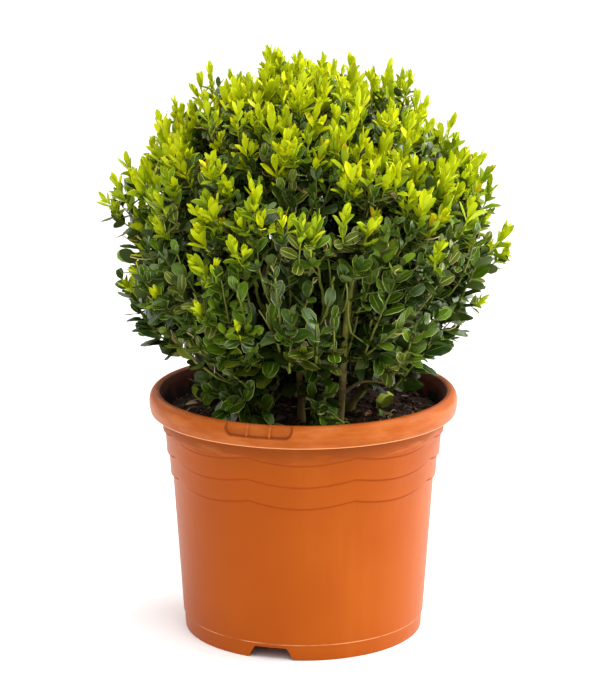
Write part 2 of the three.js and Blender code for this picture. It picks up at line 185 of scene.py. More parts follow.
def pot_profile():
    """The pot's outside line and inside line, as points of radius and height."""
    outer = [
        (FOOT_RADIUS - 3.0, FLOOR_UNDERSIDE, 1.0), (FOOT_RADIUS - 2.6, 0.0, 0.5),
        (FOOT_RADIUS, 0.0, 0.7), (FOOT_RADIUS + 0.8, FOOT_HEIGHT - 0.9, 0.3),
        (wall_radius(FOOT_HEIGHT), FOOT_HEIGHT - 0.2, 0.4),
    ]
    for layers, level in enumerate(SWAG_LEVELS):
        outer.append((wall_radius(level, layers) - 0.1, level - 0.1, 0.9))
        outer.append((wall_radius(level, layers + 1), level + 1.1, 0.9))
    groove_top = POT_HEIGHT - 7
    rim = [
        (wall_radius(RIM_BOTTOM, LAYERS), RIM_BOTTOM, 0.4),
        (wall_radius(groove_top, LAYERS), groove_top, 1.0),
        (RIM_RADIUS - 3.6, groove_top, 1.0), (RIM_RADIUS - 3.2, RIM_BOTTOM, 0.7),
        (RIM_RADIUS - 1.3, RIM_BOTTOM, 0.9), (RIM_RADIUS, RIM_BOTTOM + 6, 4.0),
        (RIM_RADIUS - 0.5, POT_HEIGHT - 4.6, 3.0), (RIM_RADIUS - 3.0, POT_HEIGHT - 0.7, 2.4),
        (OPENING_RADIUS, POT_HEIGHT, 0.9),
    ]
    inside = [
        (OPENING_RADIUS - 1.5, POT_HEIGHT - 1.4, 1.0),
        (wall_radius(groove_top, LAYERS) - WALL, groove_top, 2.0),
        (wall_radius(162, LAYERS) - WALL, 162.0, 4.0),
        (wall_radius(SWAG_LEVELS[0]) - WALL, SWAG_LEVELS[0], 4.0),
        (wall_radius(FLOOR_TOP) - WALL, FLOOR_TOP, 1.5),
    ]

    def on_face(point):
        """True on the band of the rim's face that holds the lug."""
        return point.x > LUG_FACE_RADIUS and LUG_LEVELS[0] - 1 < point.y < LUG_FACE_TOP

    floor_edge = FLOOR_RINGS[-1]
    outer_line = rounded([(floor_edge, FLOOR_UNDERSIDE, 0.0), *outer, *rim, inside[0]])[1:-1]
    outer_line = [Vector((r, FLOOR_UNDERSIDE)) for r in FLOOR_RINGS] + filled_in(outer_line, ROW_STEP)
    # rows on the rim's face are close together where the lug is let in
    first = next(i for i, point in enumerate(outer_line) if on_face(point))
    face = [point for point in filled_in(outer_line[first - 1:], LUG_ROW_STEP) if on_face(point)]
    plain = [point for point in outer_line if not on_face(point)]
    cut = next(i for i, point in enumerate(plain) if point.y > LUG_FACE_TOP - 0.1)
    outer_line = plain[:cut] + face + plain[cut:]
    inner_line = rounded([rim[-1], *inside, (floor_edge, FLOOR_TOP, 0.0)])[1:-1]
    inner_line = filled_in(inner_line, INSIDE_ROW_STEP)
    inner_line += [Vector((r, FLOOR_TOP)) for r in reversed(FLOOR_RINGS)]
    return outer_line, inner_line


def new_object(name, data):
    made = bpy.data.objects.new(name, data)
    bpy.context.scene.collection.objects.link(made)
    return made


def build_object(name, points, face_groups, materials, group_slots=None):
    """A mesh object from points and arrays of faces, all faces of one array having as many corners.
    Each array has a material slot number, or one number for each of its faces."""
    mesh = bpy.data.meshes.new(name)
    points = np.asarray(points, np.float32)
    mesh.vertices.add(len(points))
    mesh.vertices.foreach_set("co", points.ravel())
    loops = np.concatenate([np.asarray(faces, np.int32).ravel() for faces in face_groups])
    sizes = np.concatenate([np.full(len(faces), np.shape(faces)[1]) for faces in face_groups])
    starts = np.concatenate([[0], np.cumsum(sizes)[:-1]]).astype(np.int32)
    mesh.loops.add(len(loops))
    mesh.loops.foreach_set("vertex_index", loops)
    mesh.polygons.add(len(sizes))
    mesh.polygons.foreach_set("loop_start", starts)
    if group_slots is not None:
        slots = [np.broadcast_to(slot, len(faces)) for slot, faces in zip(group_slots, face_groups)]
        mesh.polygons.foreach_set("material_index", np.concatenate(slots).astype(np.int32))
    mesh.update(calc_edges=True)
    mesh.shade_smooth()
    for material in materials:
        mesh.materials.append(material)
    return new_object(name, mesh)


def closed_faces(rings, columns):
    """The faces between rings of points, and of the caps that close the first ring and the last.
    The points in the middle of the caps follow the rings' own points, the lower one first."""
    column = np.arange(columns)
    after = (column + 1) % columns
    ring = np.arange(rings - 1)[:, None] * columns
    corners = [ring + column, ring + after, ring + columns + after, ring + columns + column]
    last, middle = (rings - 1) * columns, np.full(columns, rings * columns)
    lower = np.stack([after, column, middle], -1)
    upper = np.stack([last + column, last + after, middle + 1], -1)
    return [np.stack(corners, -1).reshape(-1, 4), lower, upper]


class Value:
    """An output socket. Sums, differences and products with it add Math nodes."""

    def __init__(self, shader, socket):
        self.shader = shader
        self.socket = socket

    def math(self, operation, *others):
        inputs = dict(enumerate((self, *others)))
        return self.shader.value("ShaderNodeMath", {"operation": operation}, inputs)

    def __add__(self, other):
        return self.math("ADD", other)

    def __sub__(self, other):
        return self.math("SUBTRACT", other)

    def __mul__(self, other):
        return self.math("MULTIPLY", other)

    def __rsub__(self, other):
        return (self * -1.0) + other

    __radd__ = __add__
    __rmul__ = __mul__

    def ramp(self, low, high):
        """0 at low, 1 at high and smooth between them."""
        settings = {"interpolation_type": "SMOOTHSTEP"}
        inputs = {"Value": self, "From Min": low, "From Max": high}
        return self.shader.value("ShaderNodeMapRange", settings, inputs, "Result")

    def between(self, low, high, soft):
        """1 where the value lies between two limits, with soft ends."""
        return self.ramp(low - soft, low + soft) * (1.0 - self.ramp(high - soft, high + soft))

    def parts(self):
        """The three parts of a vector."""
        split = self.shader.node("ShaderNodeSeparateXYZ", None, {"Vector": self})
        return [Value(self.shader, output) for output in split.outputs]


class Shader:
    """A tree of nodes, emptied to be filled."""

    def __init__(self, tree):
        self.tree = tree
        self.tree.nodes.clear()

    def node(self, kind, settings=None, inputs=None):
        """Any node, from its type, its settings and the values or links of its sockets."""
        made = self.tree.nodes.new(kind)
        for name, setting in (settings or {}).items():
            setattr(made, name, setting)
        for name, given in (inputs or {}).items():
            socket = made.inputs[name]
            if isinstance(given, Value):
                self.tree.links.new(given.socket, socket)
            else:
                socket.default_value = given
        return made

    def value(self, kind, settings=None, inputs=None, output=0):
        return Value(self, self.node(kind, settings, inputs).outputs[output])

    def end(self, kind, inputs, output_kind):
        """A last node with these inputs, joined to the tree's output."""
        last = self.node(kind, None, inputs)
        output = self.node(output_kind)
        self.tree.links.new(last.outputs[0], output.inputs["Surface"])


class Finish(Shader):
    """A material built from nodes."""

    def __init__(self, name):
        self.material = bpy.data.materials.new(name)
        self.material.use_nodes = True
        super().__init__(self.material.node_tree)

    def place(self, stretch=None):
        """The object's own coordinates, in metres, stretched along the axes if need be."""
        place = self.value("ShaderNodeTexCoord", None, None, "Object")
        if stretch is None:
            return place
        settings = {"operation": "MULTIPLY"}
        return self.value("ShaderNodeVectorMath", settings, {0: place, 1: stretch})

    def noise(self, scale, detail=3.0, roughness=0.55, stretch=None):
        inputs = {"Scale": scale, "Detail": detail, "Roughness": roughness}
        inputs["Vector"] = self.place(stretch)
        return self.value("ShaderNodeTexNoise", None, inputs, "Fac")

    def mixed(self, factor, first, second):
        """A colour between two others."""
        inputs = {0: factor, 6: first, 7: second}
        return self.value("ShaderNodeMix", {"data_type": "RGBA"}, inputs, 2)

    def bump(self, height, strength, distance):
        inputs = {"Height": height, "Strength": strength, "Distance": distance}
        return self.value("ShaderNodeBump", None, inputs, "Normal")

    def surface(self, color, roughness, normal=None, **constants):
        """Ends the material in a Principled shader with these inputs."""
        inputs = {"Base Color": color, "Roughness": roughness, **constants}
        if normal is not None:
            inputs["Normal"] = normal
        self.end("ShaderNodeBsdfPrincipled", inputs, "ShaderNodeOutputMaterial")
        return self.material


def tint(red, green, blue):
    """A display colour from 0 to 255 as a linear colour."""
    channels = [c / 255.0 for c in (red, green, blue)]
    linear = [c / 12.92 if c <= 0.04045 else ((c + 0.055) / 1.055) ** 2.4 for c in channels]
    return (*linear, 1.0)


def pot_shell_finish():
    pot = Finish("orange_moulded_plastic")
    x, y, z = pot.place().parts()
    radius = (x * x + y * y).math("SQRT")
    azimuth = x.math("ARCTAN2", y * -1.0) * (180.0 / math.pi)
    facing = pot.value("ShaderNodeNewGeometry", None, None, "True Normal").parts()[2]
    broad = pot.noise(9.0, 3.0, 0.5)
    fine = pot.noise(260.0, 4.0, 0.6)
    streaks = pot.noise(30.0, 4.0, 0.6, (1.0, 1.0, 0.12))
    smears = pot.noise(24.0, 6.0, 0.66, (1.0, 1.0, 5.0))
    body = pot.mixed(broad.ramp(0.35, 0.7), tint(166, 74, 8), tint(175, 82, 12))
    body = pot.mixed(streaks.ramp(0.52, 0.78) * 0.22, body, tint(196, 104, 34))
    # the handled rim is paler and scuffed; the pale line along its lower edge further on is a painted
    # highlight
    on_rim = radius.ramp(0.1148, 0.1156)
    rim = pot.mixed(smears.ramp(0.38, 0.66), tint(168, 80, 22), tint(186, 100, 44))
    rubbed = pot.noise(52.0, 4.0, 0.7, (1.0, 1.0, 3.0)).ramp(0.6, 0.72)
    rim = pot.mixed(rubbed * 0.4, rim, tint(176, 68, 20))
    body = pot.mixed(on_rim, body, rim)
    # painted shade in the lug's recessed two-ribbed window, darkest along its lower edge, with painted shadow
    # lines round its border and beside each rib, and some grime too
    across = (azimuth - LUG_MIDDLE).math("ABSOLUTE") * RIM_ARC - (LUG_HALF_WIDTH - LUG_CORNER)
    across = across.math("MAXIMUM", 0.0)
    down = (z * (-1.0 / MM) + (LUG_LEVELS[0] + LUG_CORNER)).math("MAXIMUM", 0.0)
    outside = (across * across + down * down).math("SQRT") - LUG_CORNER
    window = (outside * -1.0).ramp(-0.3, 0.6) * on_rim
    painted_shadow_border = outside.between(-1.5, 0.1, 0.5) * on_rim
    for rib in LUG_RIBS:
        window = window * (1.0 - azimuth.between(rib - 0.35, rib + 0.35, 0.2))
        painted_shadow_border = painted_shadow_border + azimuth.between(rib + 0.4, rib + 0.9, 0.25) * window * 0.6
    body = pot.mixed(window * (0.50 - z.ramp(0.181, 0.188) * 0.38), body, tint(110, 44, 12))
    body = pot.mixed(painted_shadow_border.math("MINIMUM", 1.0) * 0.5, body, tint(92, 34, 10))
    # earth splashed and wiped in bands just under the rim
    under_rim = z.ramp(0.150, 0.1725) * (1.0 - on_rim)
    grime = under_rim * (smears + under_rim * 0.14).ramp(0.47, 0.60)
    body = pot.mixed(grime * 0.45, body, tint(122, 62, 28))
    pale_bands = under_rim * pot.noise(19.0, 5.0, 0.6, (1.0, 1.0, 7.0)).ramp(0.56, 0.7)
    body = pot.mixed(pale_bands * 0.5, body, tint(206, 122, 70))
    # painted shade: the steps that face down are coloured darker
    steps = (facing * -1.0).ramp(0.22, 0.6) * (1.0 - on_rim)
    body = pot.mixed(steps * (0.35 + broad * 0.5), body, tint(146, 56, 6))
    # painted highlights: pale lines along the rim's lower edge and along the foot's ledge
    painted_rim_highlight = z.between(0.1738, 0.1749, 0.0003) * on_rim
    painted_foot_highlight = z.between(0.0121, 0.0131, 0.0003) * streaks.ramp(0.3, 0.6)
    body = pot.mixed((painted_rim_highlight + painted_foot_highlight) * 0.85, body, tint(240, 166, 112))
    # faint soil specks
    specks = pot.noise(520.0, 2.0, 0.5).ramp(0.7, 0.76)
    body = pot.mixed(specks * 0.3, body, tint(112, 54, 26))
    rough = fine.ramp(0.3, 0.7) * 0.06 + streaks * 0.08 + grime * 0.2 + steps * 0.55 + 0.33
    relief = pot.bump(fine * 0.4 + pot.noise(70.0, 2.0, 0.5), 0.12, 0.0006)
    gloss = {"Specular IOR Level": 0.18, "Specular Tint": (1.0, 0.70, 0.45, 1.0)}
    return pot.surface(body, rough, relief, **gloss)


def pot_inside_finish():
    inside = Finish("soiled_pot_inside")
    z = inside.place().parts()[2]
    cling = inside.noise(55.0, 6.0, 0.68)
    crumbs = inside.noise(480.0, 4.0, 0.65)
    # painted shade: the bare plastic inside is coloured darker than the outside, for the shade within the pot
    bare = inside.mixed(crumbs.ramp(0.35, 0.7), tint(122, 50, 22), tint(150, 66, 28))
    soil = (cling + (1.0 - z.ramp(0.172, 0.186)) * 0.3).ramp(0.56, 0.72)
    color = inside.mixed(soil, bare, tint(34, 22, 18))
    # painted highlight: a pale band along the top of the inner lip
    color = inside.mixed(z.ramp(0.1888, 0.1902), color, tint(206, 118, 66))
    return inside.surface(color, 0.55 + crumbs * 0.3, inside.bump(crumbs * soil, 0.5, 0.0012))


def build_pot():
    outer_line, inner_line = pot_profile()
    line = outer_line + inner_line
    azimuth = pot_columns()[None, :]
    rings, columns = len(line), azimuth.size
    radius = np.array([point.x for point in line])[:, None]
    height = np.array([point.y for point in line])[:, None]
    is_outside = np.arange(rings)[:, None] < len(outer_line)
    # swags: the stepped lines and the wall between them rise together
    near = smooth_step(96.0, 120.0, height) * smooth_step(172.0, 164.0, height)
    rise = swag_rise(azimuth) * (near * is_outside * (radius < BODY_WITHIN))
    height = height + rise
    radius = radius + WALL_SLOPE * rise
    # lug windows and the two ribs in them
    on_face = is_outside * (radius > FACE_BEYOND) * (height > LUG_LEVELS[0] - 2)
    radius = radius - lug_depth(azimuth, height) * on_face
    # notches lift the lower edge of the foot ring
    lifted = notch_top(azimuth)
    in_foot = is_outside * (radius > FOOT_RADIUS - 3.2) * (height < FLOOR_UNDERSIDE)
    height = np.where(in_foot, lifted + height * (1 - lifted / FLOOR_UNDERSIDE), height)
    # the thin wall has settled a little out of round
    angle = np.radians(azimuth)
    warp = 1.0 + 0.0011 * np.sin(2 * angle + 0.7) * smooth_step(20.0, 190.0, height)
    points = np.stack([radius * warp * np.sin(angle), -radius * warp * np.cos(angle), height], -1)
    middles = [[0.0, 0.0, FLOOR_UNDERSIDE], [0.0, 0.0, FLOOR_TOP]]
    opening_ring = len(outer_line) - 2
    slots = np.repeat(np.arange(rings - 1) >= opening_ring, columns)
    return build_object(
        "pot_shell", np.concatenate([points.reshape(-1, 3), middles]) * MM,
        closed_faces(rings, columns), [pot_shell_finish(), pot_inside_finish()], [slots, 0, 1],
    )


def drill_drains(piece):
    """Round holes through the raised floor."""
    points, faces, caps = [], [], []
    for hole in range(DRAIN_COUNT):
        turn = math.radians(hole * 360 / DRAIN_COUNT)
        ring = len(points) + np.arange(DRAIN_SIDES)
        faces += list(closed_faces(2, DRAIN_SIDES)[0] + len(points))
        caps += [ring[::-1], ring + DRAIN_SIDES]
        for level in (FLOOR_UNDERSIDE - 2, FLOOR_TOP + 2):
            for step in range(DRAIN_SIDES):
                angle = 2 * math.pi * step / DRAIN_SIDES
                x = DRAIN_CIRCLE * math.sin(turn) + DRAIN_RADIUS * math.cos(angle)
                y = -DRAIN_CIRCLE * math.cos(turn) + DRAIN_RADIUS * math.sin(angle)
                points.append((x * MM, y * MM, level * MM))
    cutter = build_object("drain_drill", points, [np.array(faces), np.array(caps)], [])
    modifier = piece.modifiers.new("drains", "BOOLEAN")
    modifier.operation = "DIFFERENCE"
    modifier.solver = "EXACT"
    modifier.object = cutter
    scene_graph = bpy.context.evaluated_depsgraph_get()
    piece.data = bpy.data.meshes.new_from_object(piece.evaluated_get(scene_graph))
    piece.modifiers.clear()
    bpy.data.objects.remove(cutter)
    piece.data.set_sharp_from_angle(angle=math.radians(50))


pot_shell = build_pot()
drill_drains(pot_shell)
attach(pot_shell, "root")
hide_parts("pot")

# ---------------------------------------------------------------- compost
# Moist peat and bark compost fills the pot to just under the rim. Its top is crumbly and uneven,
# and bits of bark, fibre and dry leaf lie loose on it. Its sizes are in millimetres too.
SOIL_LEVEL = 172.0
SOIL_SIDES = 168
WALL_GAP = 0.3
CLODS = ((13.0, 1.3), (5.5, 1.2), (2.6, 0.9))


def unevenness(x, y):
    """Smooth swells between -1 and 1, about one unit across."""
    broad = np.sin(2.1 * x + 1.3 * y) * np.cos(-0.9 * x)
    fine = np.sin(3.9 * y + 1.1) * np.cos(3.3 * x + 0.7)
    return 0.6 * broad + 0.4 * fine


def soil_height(x, y):
    """Level of the compost's top, in millimetres, without its crumbs."""
    return SOIL_LEVEL + 2.4 * unevenness(x / 16.0, y / 16.0) - 0.6


def compost_finish():
    soil = Finish("moist_compost")
    coarse = soil.noise(95.0, 6.0, 0.7)
    grains = soil.noise(520.0, 5.0, 0.7)
    flecks = soil.noise(340.0, 3.0, 0.6)
    color = soil.mixed(coarse.ramp(0.3, 0.7), tint(28, 18, 13), tint(66, 44, 30))
    color = soil.mixed(grains.ramp(0.56, 0.74) * 0.7, color, tint(84, 54, 38))
    color = soil.mixed(flecks.ramp(0.68, 0.74) * 0.7, color, tint(140, 86, 54))
    relief = soil.bump(grains + coarse, 0.9, 0.0016)
    return soil.surface(color, 0.62 + grains * 0.35, relief, **{"Specular IOR Level": 0.2})


def build_compost():
    wall = wall_radius(SOIL_LEVEL, LAYERS) - WALL - 0.35
    radii = np.concatenate([np.linspace(wall, 96.0, 9), np.linspace(94.6, 1.6, 60)])
    angles = np.radians(np.arange(SOIL_SIDES) * 360.0 / SOIL_SIDES)
    x = radii[:, None] * np.sin(angles)[None, :]
    y = -radii[:, None] * np.cos(angles)[None, :]
    z = soil_height(x, y)
    for size, depth in CLODS:
        clod = [noise.noise((a / size, b / size, size)) for a, b in zip(x.ravel(), y.ravel())]
        z = z + depth * (np.abs(np.array(clod).reshape(z.shape)) * 2.0 - 0.35)
    z[0] = SOIL_LEVEL - 2.0
    sides = [
        (wall_radius(FLOOR_TOP) - WALL - WALL_GAP, FLOOR_TOP + WALL_GAP),
        (wall_radius(SWAG_LEVELS[0]) - WALL - WALL_GAP, SWAG_LEVELS[0]), (wall - 0.4, 162.0),
    ]
    skirt = []
    for radius, height in sides:
        heights = np.full(SOIL_SIDES, height)
        skirt.append(np.stack([radius * np.sin(angles), -radius * np.cos(angles), heights], -1))
    top = np.stack([x, y, z], -1).reshape(-1, 3)
    middles = [[0, 0, FLOOR_TOP + WALL_GAP], [0, 0, z[-1].mean()]]
    rings = len(sides) + len(radii)
    points = np.concatenate([*skirt, top, middles]) * MM
    return build_object("compost_bed", points, closed_faces(rings, SOIL_SIDES), [compost_finish()])


compost_bed = build_compost()
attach(compost_bed, "root")
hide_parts("compost")

# crumbs of peat and bark: rough lumps of twenty faces, in five browns
CRUMB_COUNT = 2300
CRUMB_SPREAD = 105.5
CRUMB_STRETCH = ((1.0, 2.4), (0.7, 1.1), (0.4, 0.8))
CRUMB_MAKES = [
    ("peat_crumb", (48, 32, 20), 0.95, 0.44), ("damp_bark_bit", (84, 53, 33), 0.9, 0.27),
    ("brown_bark_bit", (106, 67, 38), 0.8, 0.17), ("red_bark_bit", (136, 78, 42), 0.75, 0.08),
    ("tan_straw_bit", (150, 112, 72), 0.7, 0.04),
]


def plain_finish(name, shade, roughness, **constants):
    """One plain colour, dealt out to whole pieces or sprays."""
    return Finish(name).surface(tint(*shade), roughness, **constants)


def turned_frames(ways, ups):
    """Unit across, along and above vectors for arrays of directions."""
    ways = ways / np.linalg.norm(ways, axis=1, keepdims=True)
    across = np.cross(ways, ups)
    across /= np.linalg.norm(across, axis=1, keepdims=True)
    return across, ways, np.cross(across, ways)


def build_crumbs():
    draw = np.random.default_rng(11)
    phi = (1 + math.sqrt(5)) / 2
    corners = np.array([
        (-1, phi, 0), (1, phi, 0), (-1, -phi, 0), (1, -phi, 0), (0, -1, phi), (0, 1, phi),
        (0, -1, -phi), (0, 1, -phi), (phi, 0, -1), (phi, 0, 1), (-phi, 0, -1), (-phi, 0, 1),
    ])
    corners = corners / np.linalg.norm(corners[0])
    faces = np.array([
        (0, 11, 5), (0, 5, 1), (0, 1, 7), (0, 7, 10), (0, 10, 11), (1, 5, 9), (5, 11, 4),
        (11, 10, 2), (10, 7, 6), (7, 1, 8), (3, 9, 4), (3, 4, 2), (3, 2, 6), (3, 6, 8),
        (3, 8, 9), (4, 9, 5), (2, 4, 11), (6, 2, 10), (8, 6, 7), (9, 8, 1),
    ])
    count = CRUMB_COUNT
    radius = CRUMB_SPREAD * np.sqrt(draw.random(count))
    angle = draw.random(count) * 2 * math.pi
    x, y = radius * np.sin(angle), -radius * np.cos(angle)
    size = 0.5 + 1.3 * draw.random(count) ** 2.5
    stretch = np.stack([size * draw.uniform(*limits, count) for limits in CRUMB_STRETCH], -1)
    bulges = draw.uniform(-0.25, 0.25, (count, len(corners), 1))
    rough = corners[None] * (1 + bulges) * stretch[:, None, :]
    ways = draw.normal(size=(count, 3)) * (1, 1, 0.35)
    ups = draw.normal(size=(count, 3)) * 0.3 + (0, 0, 1)
    across, along, above = (axis[:, None] for axis in turned_frames(ways, ups))
    points = rough[..., 0:1] * along + rough[..., 1:2] * across + rough[..., 2:3] * above
    lift = soil_height(x, y) + 0.5 + 0.5 * size
    points += np.stack([x, y, lift], -1)[:, None]
    all_faces = (faces[None] + np.arange(count)[:, None, None] * len(corners)).reshape(-1, 3)
    shade = draw.choice(len(CRUMB_MAKES), count, p=[make[3] for make in CRUMB_MAKES])
    piece = build_object(
        "compost_crumbs", points.reshape(-1, 3) * MM, [all_faces],
        [plain_finish(*make[:3]) for make in CRUMB_MAKES], [np.repeat(shade, len(faces))],
    )
    piece.data.shade_flat()
    return piece


compost_crumbs = build_crumbs()
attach(compost_crumbs, "root")

# ---------------------------------------------------------------- stems and boughs
# Seven woody stems rise from the compost and fork into the boughs of the ball; low boughs carry the
# skirt of leaves above the rim. The bark is thin, olive-brown and ridged, with a ring at each old
# pair of leaf scars and pale lichen dots. From here on all sizes are in metres.
RING_GAP = 0.0026
LIMB_STEP, LIMB_SIDES = 0.0018, 16
SLIMNESS = 0.87  # the rings and ridges of the bark stand out from here
KNOT_SPACING = 0.0135


class Limb:
    """Centres and radii along a limb, from its lower end, read from the rings of its CAD solid."""

    def __init__(self, name):
        points = np.array([v.co for v in nodes[name].data.vertices], float)
        middle = points.mean(0)
        axis = np.linalg.svd(points - middle, full_matrices=False)[2][0]
        along = (points - middle) @ axis
        order = np.argsort(along)
        breaks = np.where(np.diff(along[order]) > RING_GAP)[0] + 1
        rings = [points[group] for group in np.split(order, breaks) if len(group) >= 4]
        centres = [ring.mean(0) for ring in rings]
        radii = [np.linalg.norm(ring - ring.mean(0), axis=1).mean() for ring in rings]
        is_low = name.startswith("low_bough")
        ends = [np.hypot(*centre[:2]) if is_low else centre[2] for centre in (centres[0], centres[-1])]
        if ends[0] > ends[1]:
            centres.reverse()
            radii.reverse()
        if name.startswith("stem"):
            centres.insert(0, centres[0] - np.array([0.0, 0.0, 0.004]))
            radii.insert(0, radii[0] * 1.1)
        else:
            radii[0] = radii[1] * 1.12
            centres.insert(0, centres[0] + (centres[0] - centres[1]) * 0.12)
            radii.insert(0, radii[0])
        self.name = name
        self.centres = np.array(centres)
        self.radii = np.array(radii)

    def smooth(self, step):
        """Centres and radii resampled along a Catmull-Rom curve."""
        centres, radii = self.centres, self.radii
        before = [2 * centres[0] - centres[1]]
        padded = np.concatenate([before, centres, [2 * centres[-1] - centres[-2]]])
        places, thickness = [], []
        for i in range(len(centres) - 1):
            p0, p1, p2, p3 = padded[i:i + 4]
            count = max(1, int(round(np.linalg.norm(p2 - p1) / step)))
            t = np.arange(count)[:, None] / count
            places.append(0.5 * (2 * p1 + (p2 - p0) * t + (2 * p0 - 5 * p1 + 4 * p2 - p3) * t ** 2
                                 + (3 * p1 - p0 - 3 * p2 + p3) * t ** 3))
            thickness.append(radii[i] + (radii[i + 1] - radii[i]) * t[:, 0])
        return np.concatenate([*places, centres[-1:]]), np.concatenate([*thickness, radii[-1:]])


def carried_frames(centres):
    """Directions along a line of centres and two vectors square to each, turned as little as possible."""
    ways = np.gradient(centres, axis=0)
    ways /= np.linalg.norm(ways, axis=1, keepdims=True)
    first = np.cross(ways[0], (0.3, 0.8, 0.52))
    sides = [first / np.linalg.norm(first)]
    for way in ways[1:]:
        side = sides[-1] - way * np.dot(sides[-1], way)
        sides.append(side / np.linalg.norm(side))
    sides = np.array(sides)
    return ways, sides, np.cross(ways, sides)


class Tubes:
    """Collects closed tubes along lines of centres, to be joined in one piece."""

    def __init__(self):
        self.parts = []
        self.count = 0

    def add(self, centres, radii, sides, slot=0, relief=None):
        ways, first, second = carried_frames(centres)
        angle = np.arange(sides) * 2 * math.pi / sides
        thickness = np.repeat(np.asarray(radii)[:, None], sides, 1)
        if relief is not None:
            thickness = thickness * relief(angle[None, :], centres)
        cosine, sine = np.cos(angle)[None, :, None], np.sin(angle)[None, :, None]
        spokes = cosine * first[:, None] + sine * second[:, None]
        ring = centres[:, None] + spokes * thickness[:, :, None]
        rings = len(centres)
        ends = [centres[0] - ways[0] * radii[0] * 0.3, centres[-1] + ways[-1] * radii[-1] * 0.6]
        points = np.concatenate([ring.reshape(-1, 3), ends])
        quads, lower, upper = (faces + self.count for faces in closed_faces(rings, sides))
        caps = np.concatenate([lower, upper])
        self.parts.append((points, quads, caps, np.full(len(quads), slot), np.full(len(caps), slot)))
        self.count += len(points)

    def build(self, name, materials):
        points, quads, caps, quad_slots, cap_slots = map(np.concatenate, zip(*self.parts))
        return build_object(name, points, [quads, caps], materials, [quad_slots, cap_slots])


def bark_finish():
    bark = Finish("olive_brown_bark")
    ridges = bark.noise(700.0, 5.0, 0.65, (1.0, 1.0, 0.16))
    patches = bark.noise(120.0, 4.0, 0.6)
    z = bark.place().parts()[2]
    blotched = patches.ramp(0.35, 0.65)
    low_bark = bark.mixed(blotched, tint(92, 74, 42), tint(122, 106, 54))
    high_bark = bark.mixed(blotched, tint(116, 114, 26), tint(148, 144, 48))
    color = bark.mixed(z.ramp(0.19, 0.26), low_bark, high_bark)
    color = bark.mixed(ridges.ramp(0.5, 0.72) * 0.75, color, tint(64, 50, 26))
    green = (patches * 0.6 + 0.2) * (1.0 - z.ramp(0.172, 0.205))
    color = bark.mixed(green, color, tint(128, 118, 40))
    dots = bark.noise(900.0, 2.0, 0.5).ramp(0.66, 0.7)
    color = bark.mixed(dots * 0.75, color, tint(168, 160, 128))
    return bark.surface(color, 0.65 + ridges * 0.25, bark.bump(ridges + dots * 0.4, 0.8, 0.0008))


def bark_relief(seed):
    """Lengthwise ridges, with a swollen ring at every old pair of leaf scars."""
    def relief(angle, centres):
        steps = np.linalg.norm(np.diff(centres, axis=0), axis=1)
        run = np.concatenate([[0.0], np.cumsum(steps)])[:, None]
        ridge = 0.05 * np.cos(4 * angle + seed) + 0.035 * np.cos(7 * angle + 3.1 * seed + 90 * run)
        from_knot = (run / KNOT_SPACING + 0.13 * seed) % 1.0 - 0.5
        knots = 0.10 * np.exp(-(from_knot / 0.09) ** 2)
        return 1.0 + ridge + knots + 0.03 * np.sin(420 * run + seed)
    return relief


limb_names = [name for name in nodes if name.startswith(("stem_", "bough_", "low_bough_"))]
limbs = {name: Limb(name) for name in sorted(limb_names)}
limb_tubes = Tubes()
for number, limb in enumerate(limbs.values()):
    centres, radii = limb.smooth(LIMB_STEP)
    limb_tubes.add(centres, radii * SLIMNESS, LIMB_SIDES, 0, bark_relief(1.7 * number))
limb_wood = limb_tubes.build("stems_and_boughs", [bark_finish()])
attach(limb_wood, "root")
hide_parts(*limb_names)

# ---------------------------------------------------------------- branching
# Side branches grow from the limbs by one seeded rule: each new growing point joins the nearest
# wood that already points its way, and the line between them bends as a branch does. Sprays of
# leaves then run from the outermost points to the surface that the shears left.
CROWN_CENTRE = Vector((0.0, 0.0, 0.303))
ROOT_OF_BALL = Vector((0.0, 0.0, 0.215))
BARE_BELOW = 0.186  # nothing grows from the stems lower than this
MOST_POINTS = 24000
TURN_COST = 1.7
BRANCH_STEP = 0.009
BRANCH_BEND = 0.4
BRANCH_WAVER = 0.0004
LEAST_REACH = 0.05
FAR_OUT = 0.4
rng = random.Random(3)
crown = nodes["crown_ball"].data
crown_tree = BVHTree.FromPolygons([v.co for v in crown.vertices], [p.vertices for p in crown.polygons])


def crown_reach(way):
    """How far the ball's surface lies from its centre, in any direction."""
    place, _, _, distance = crown_tree.ray_cast(CROWN_CENTRE + way * FAR_OUT, -way)
    return FAR_OUT - distance if place is not None else 0.0


def spare_reach(place):
    """How deep a place lies under the ball's surface; less than nothing outside it."""
    offset = place - CROWN_CENTRE
    return crown_reach(offset.normalized()) - offset.length


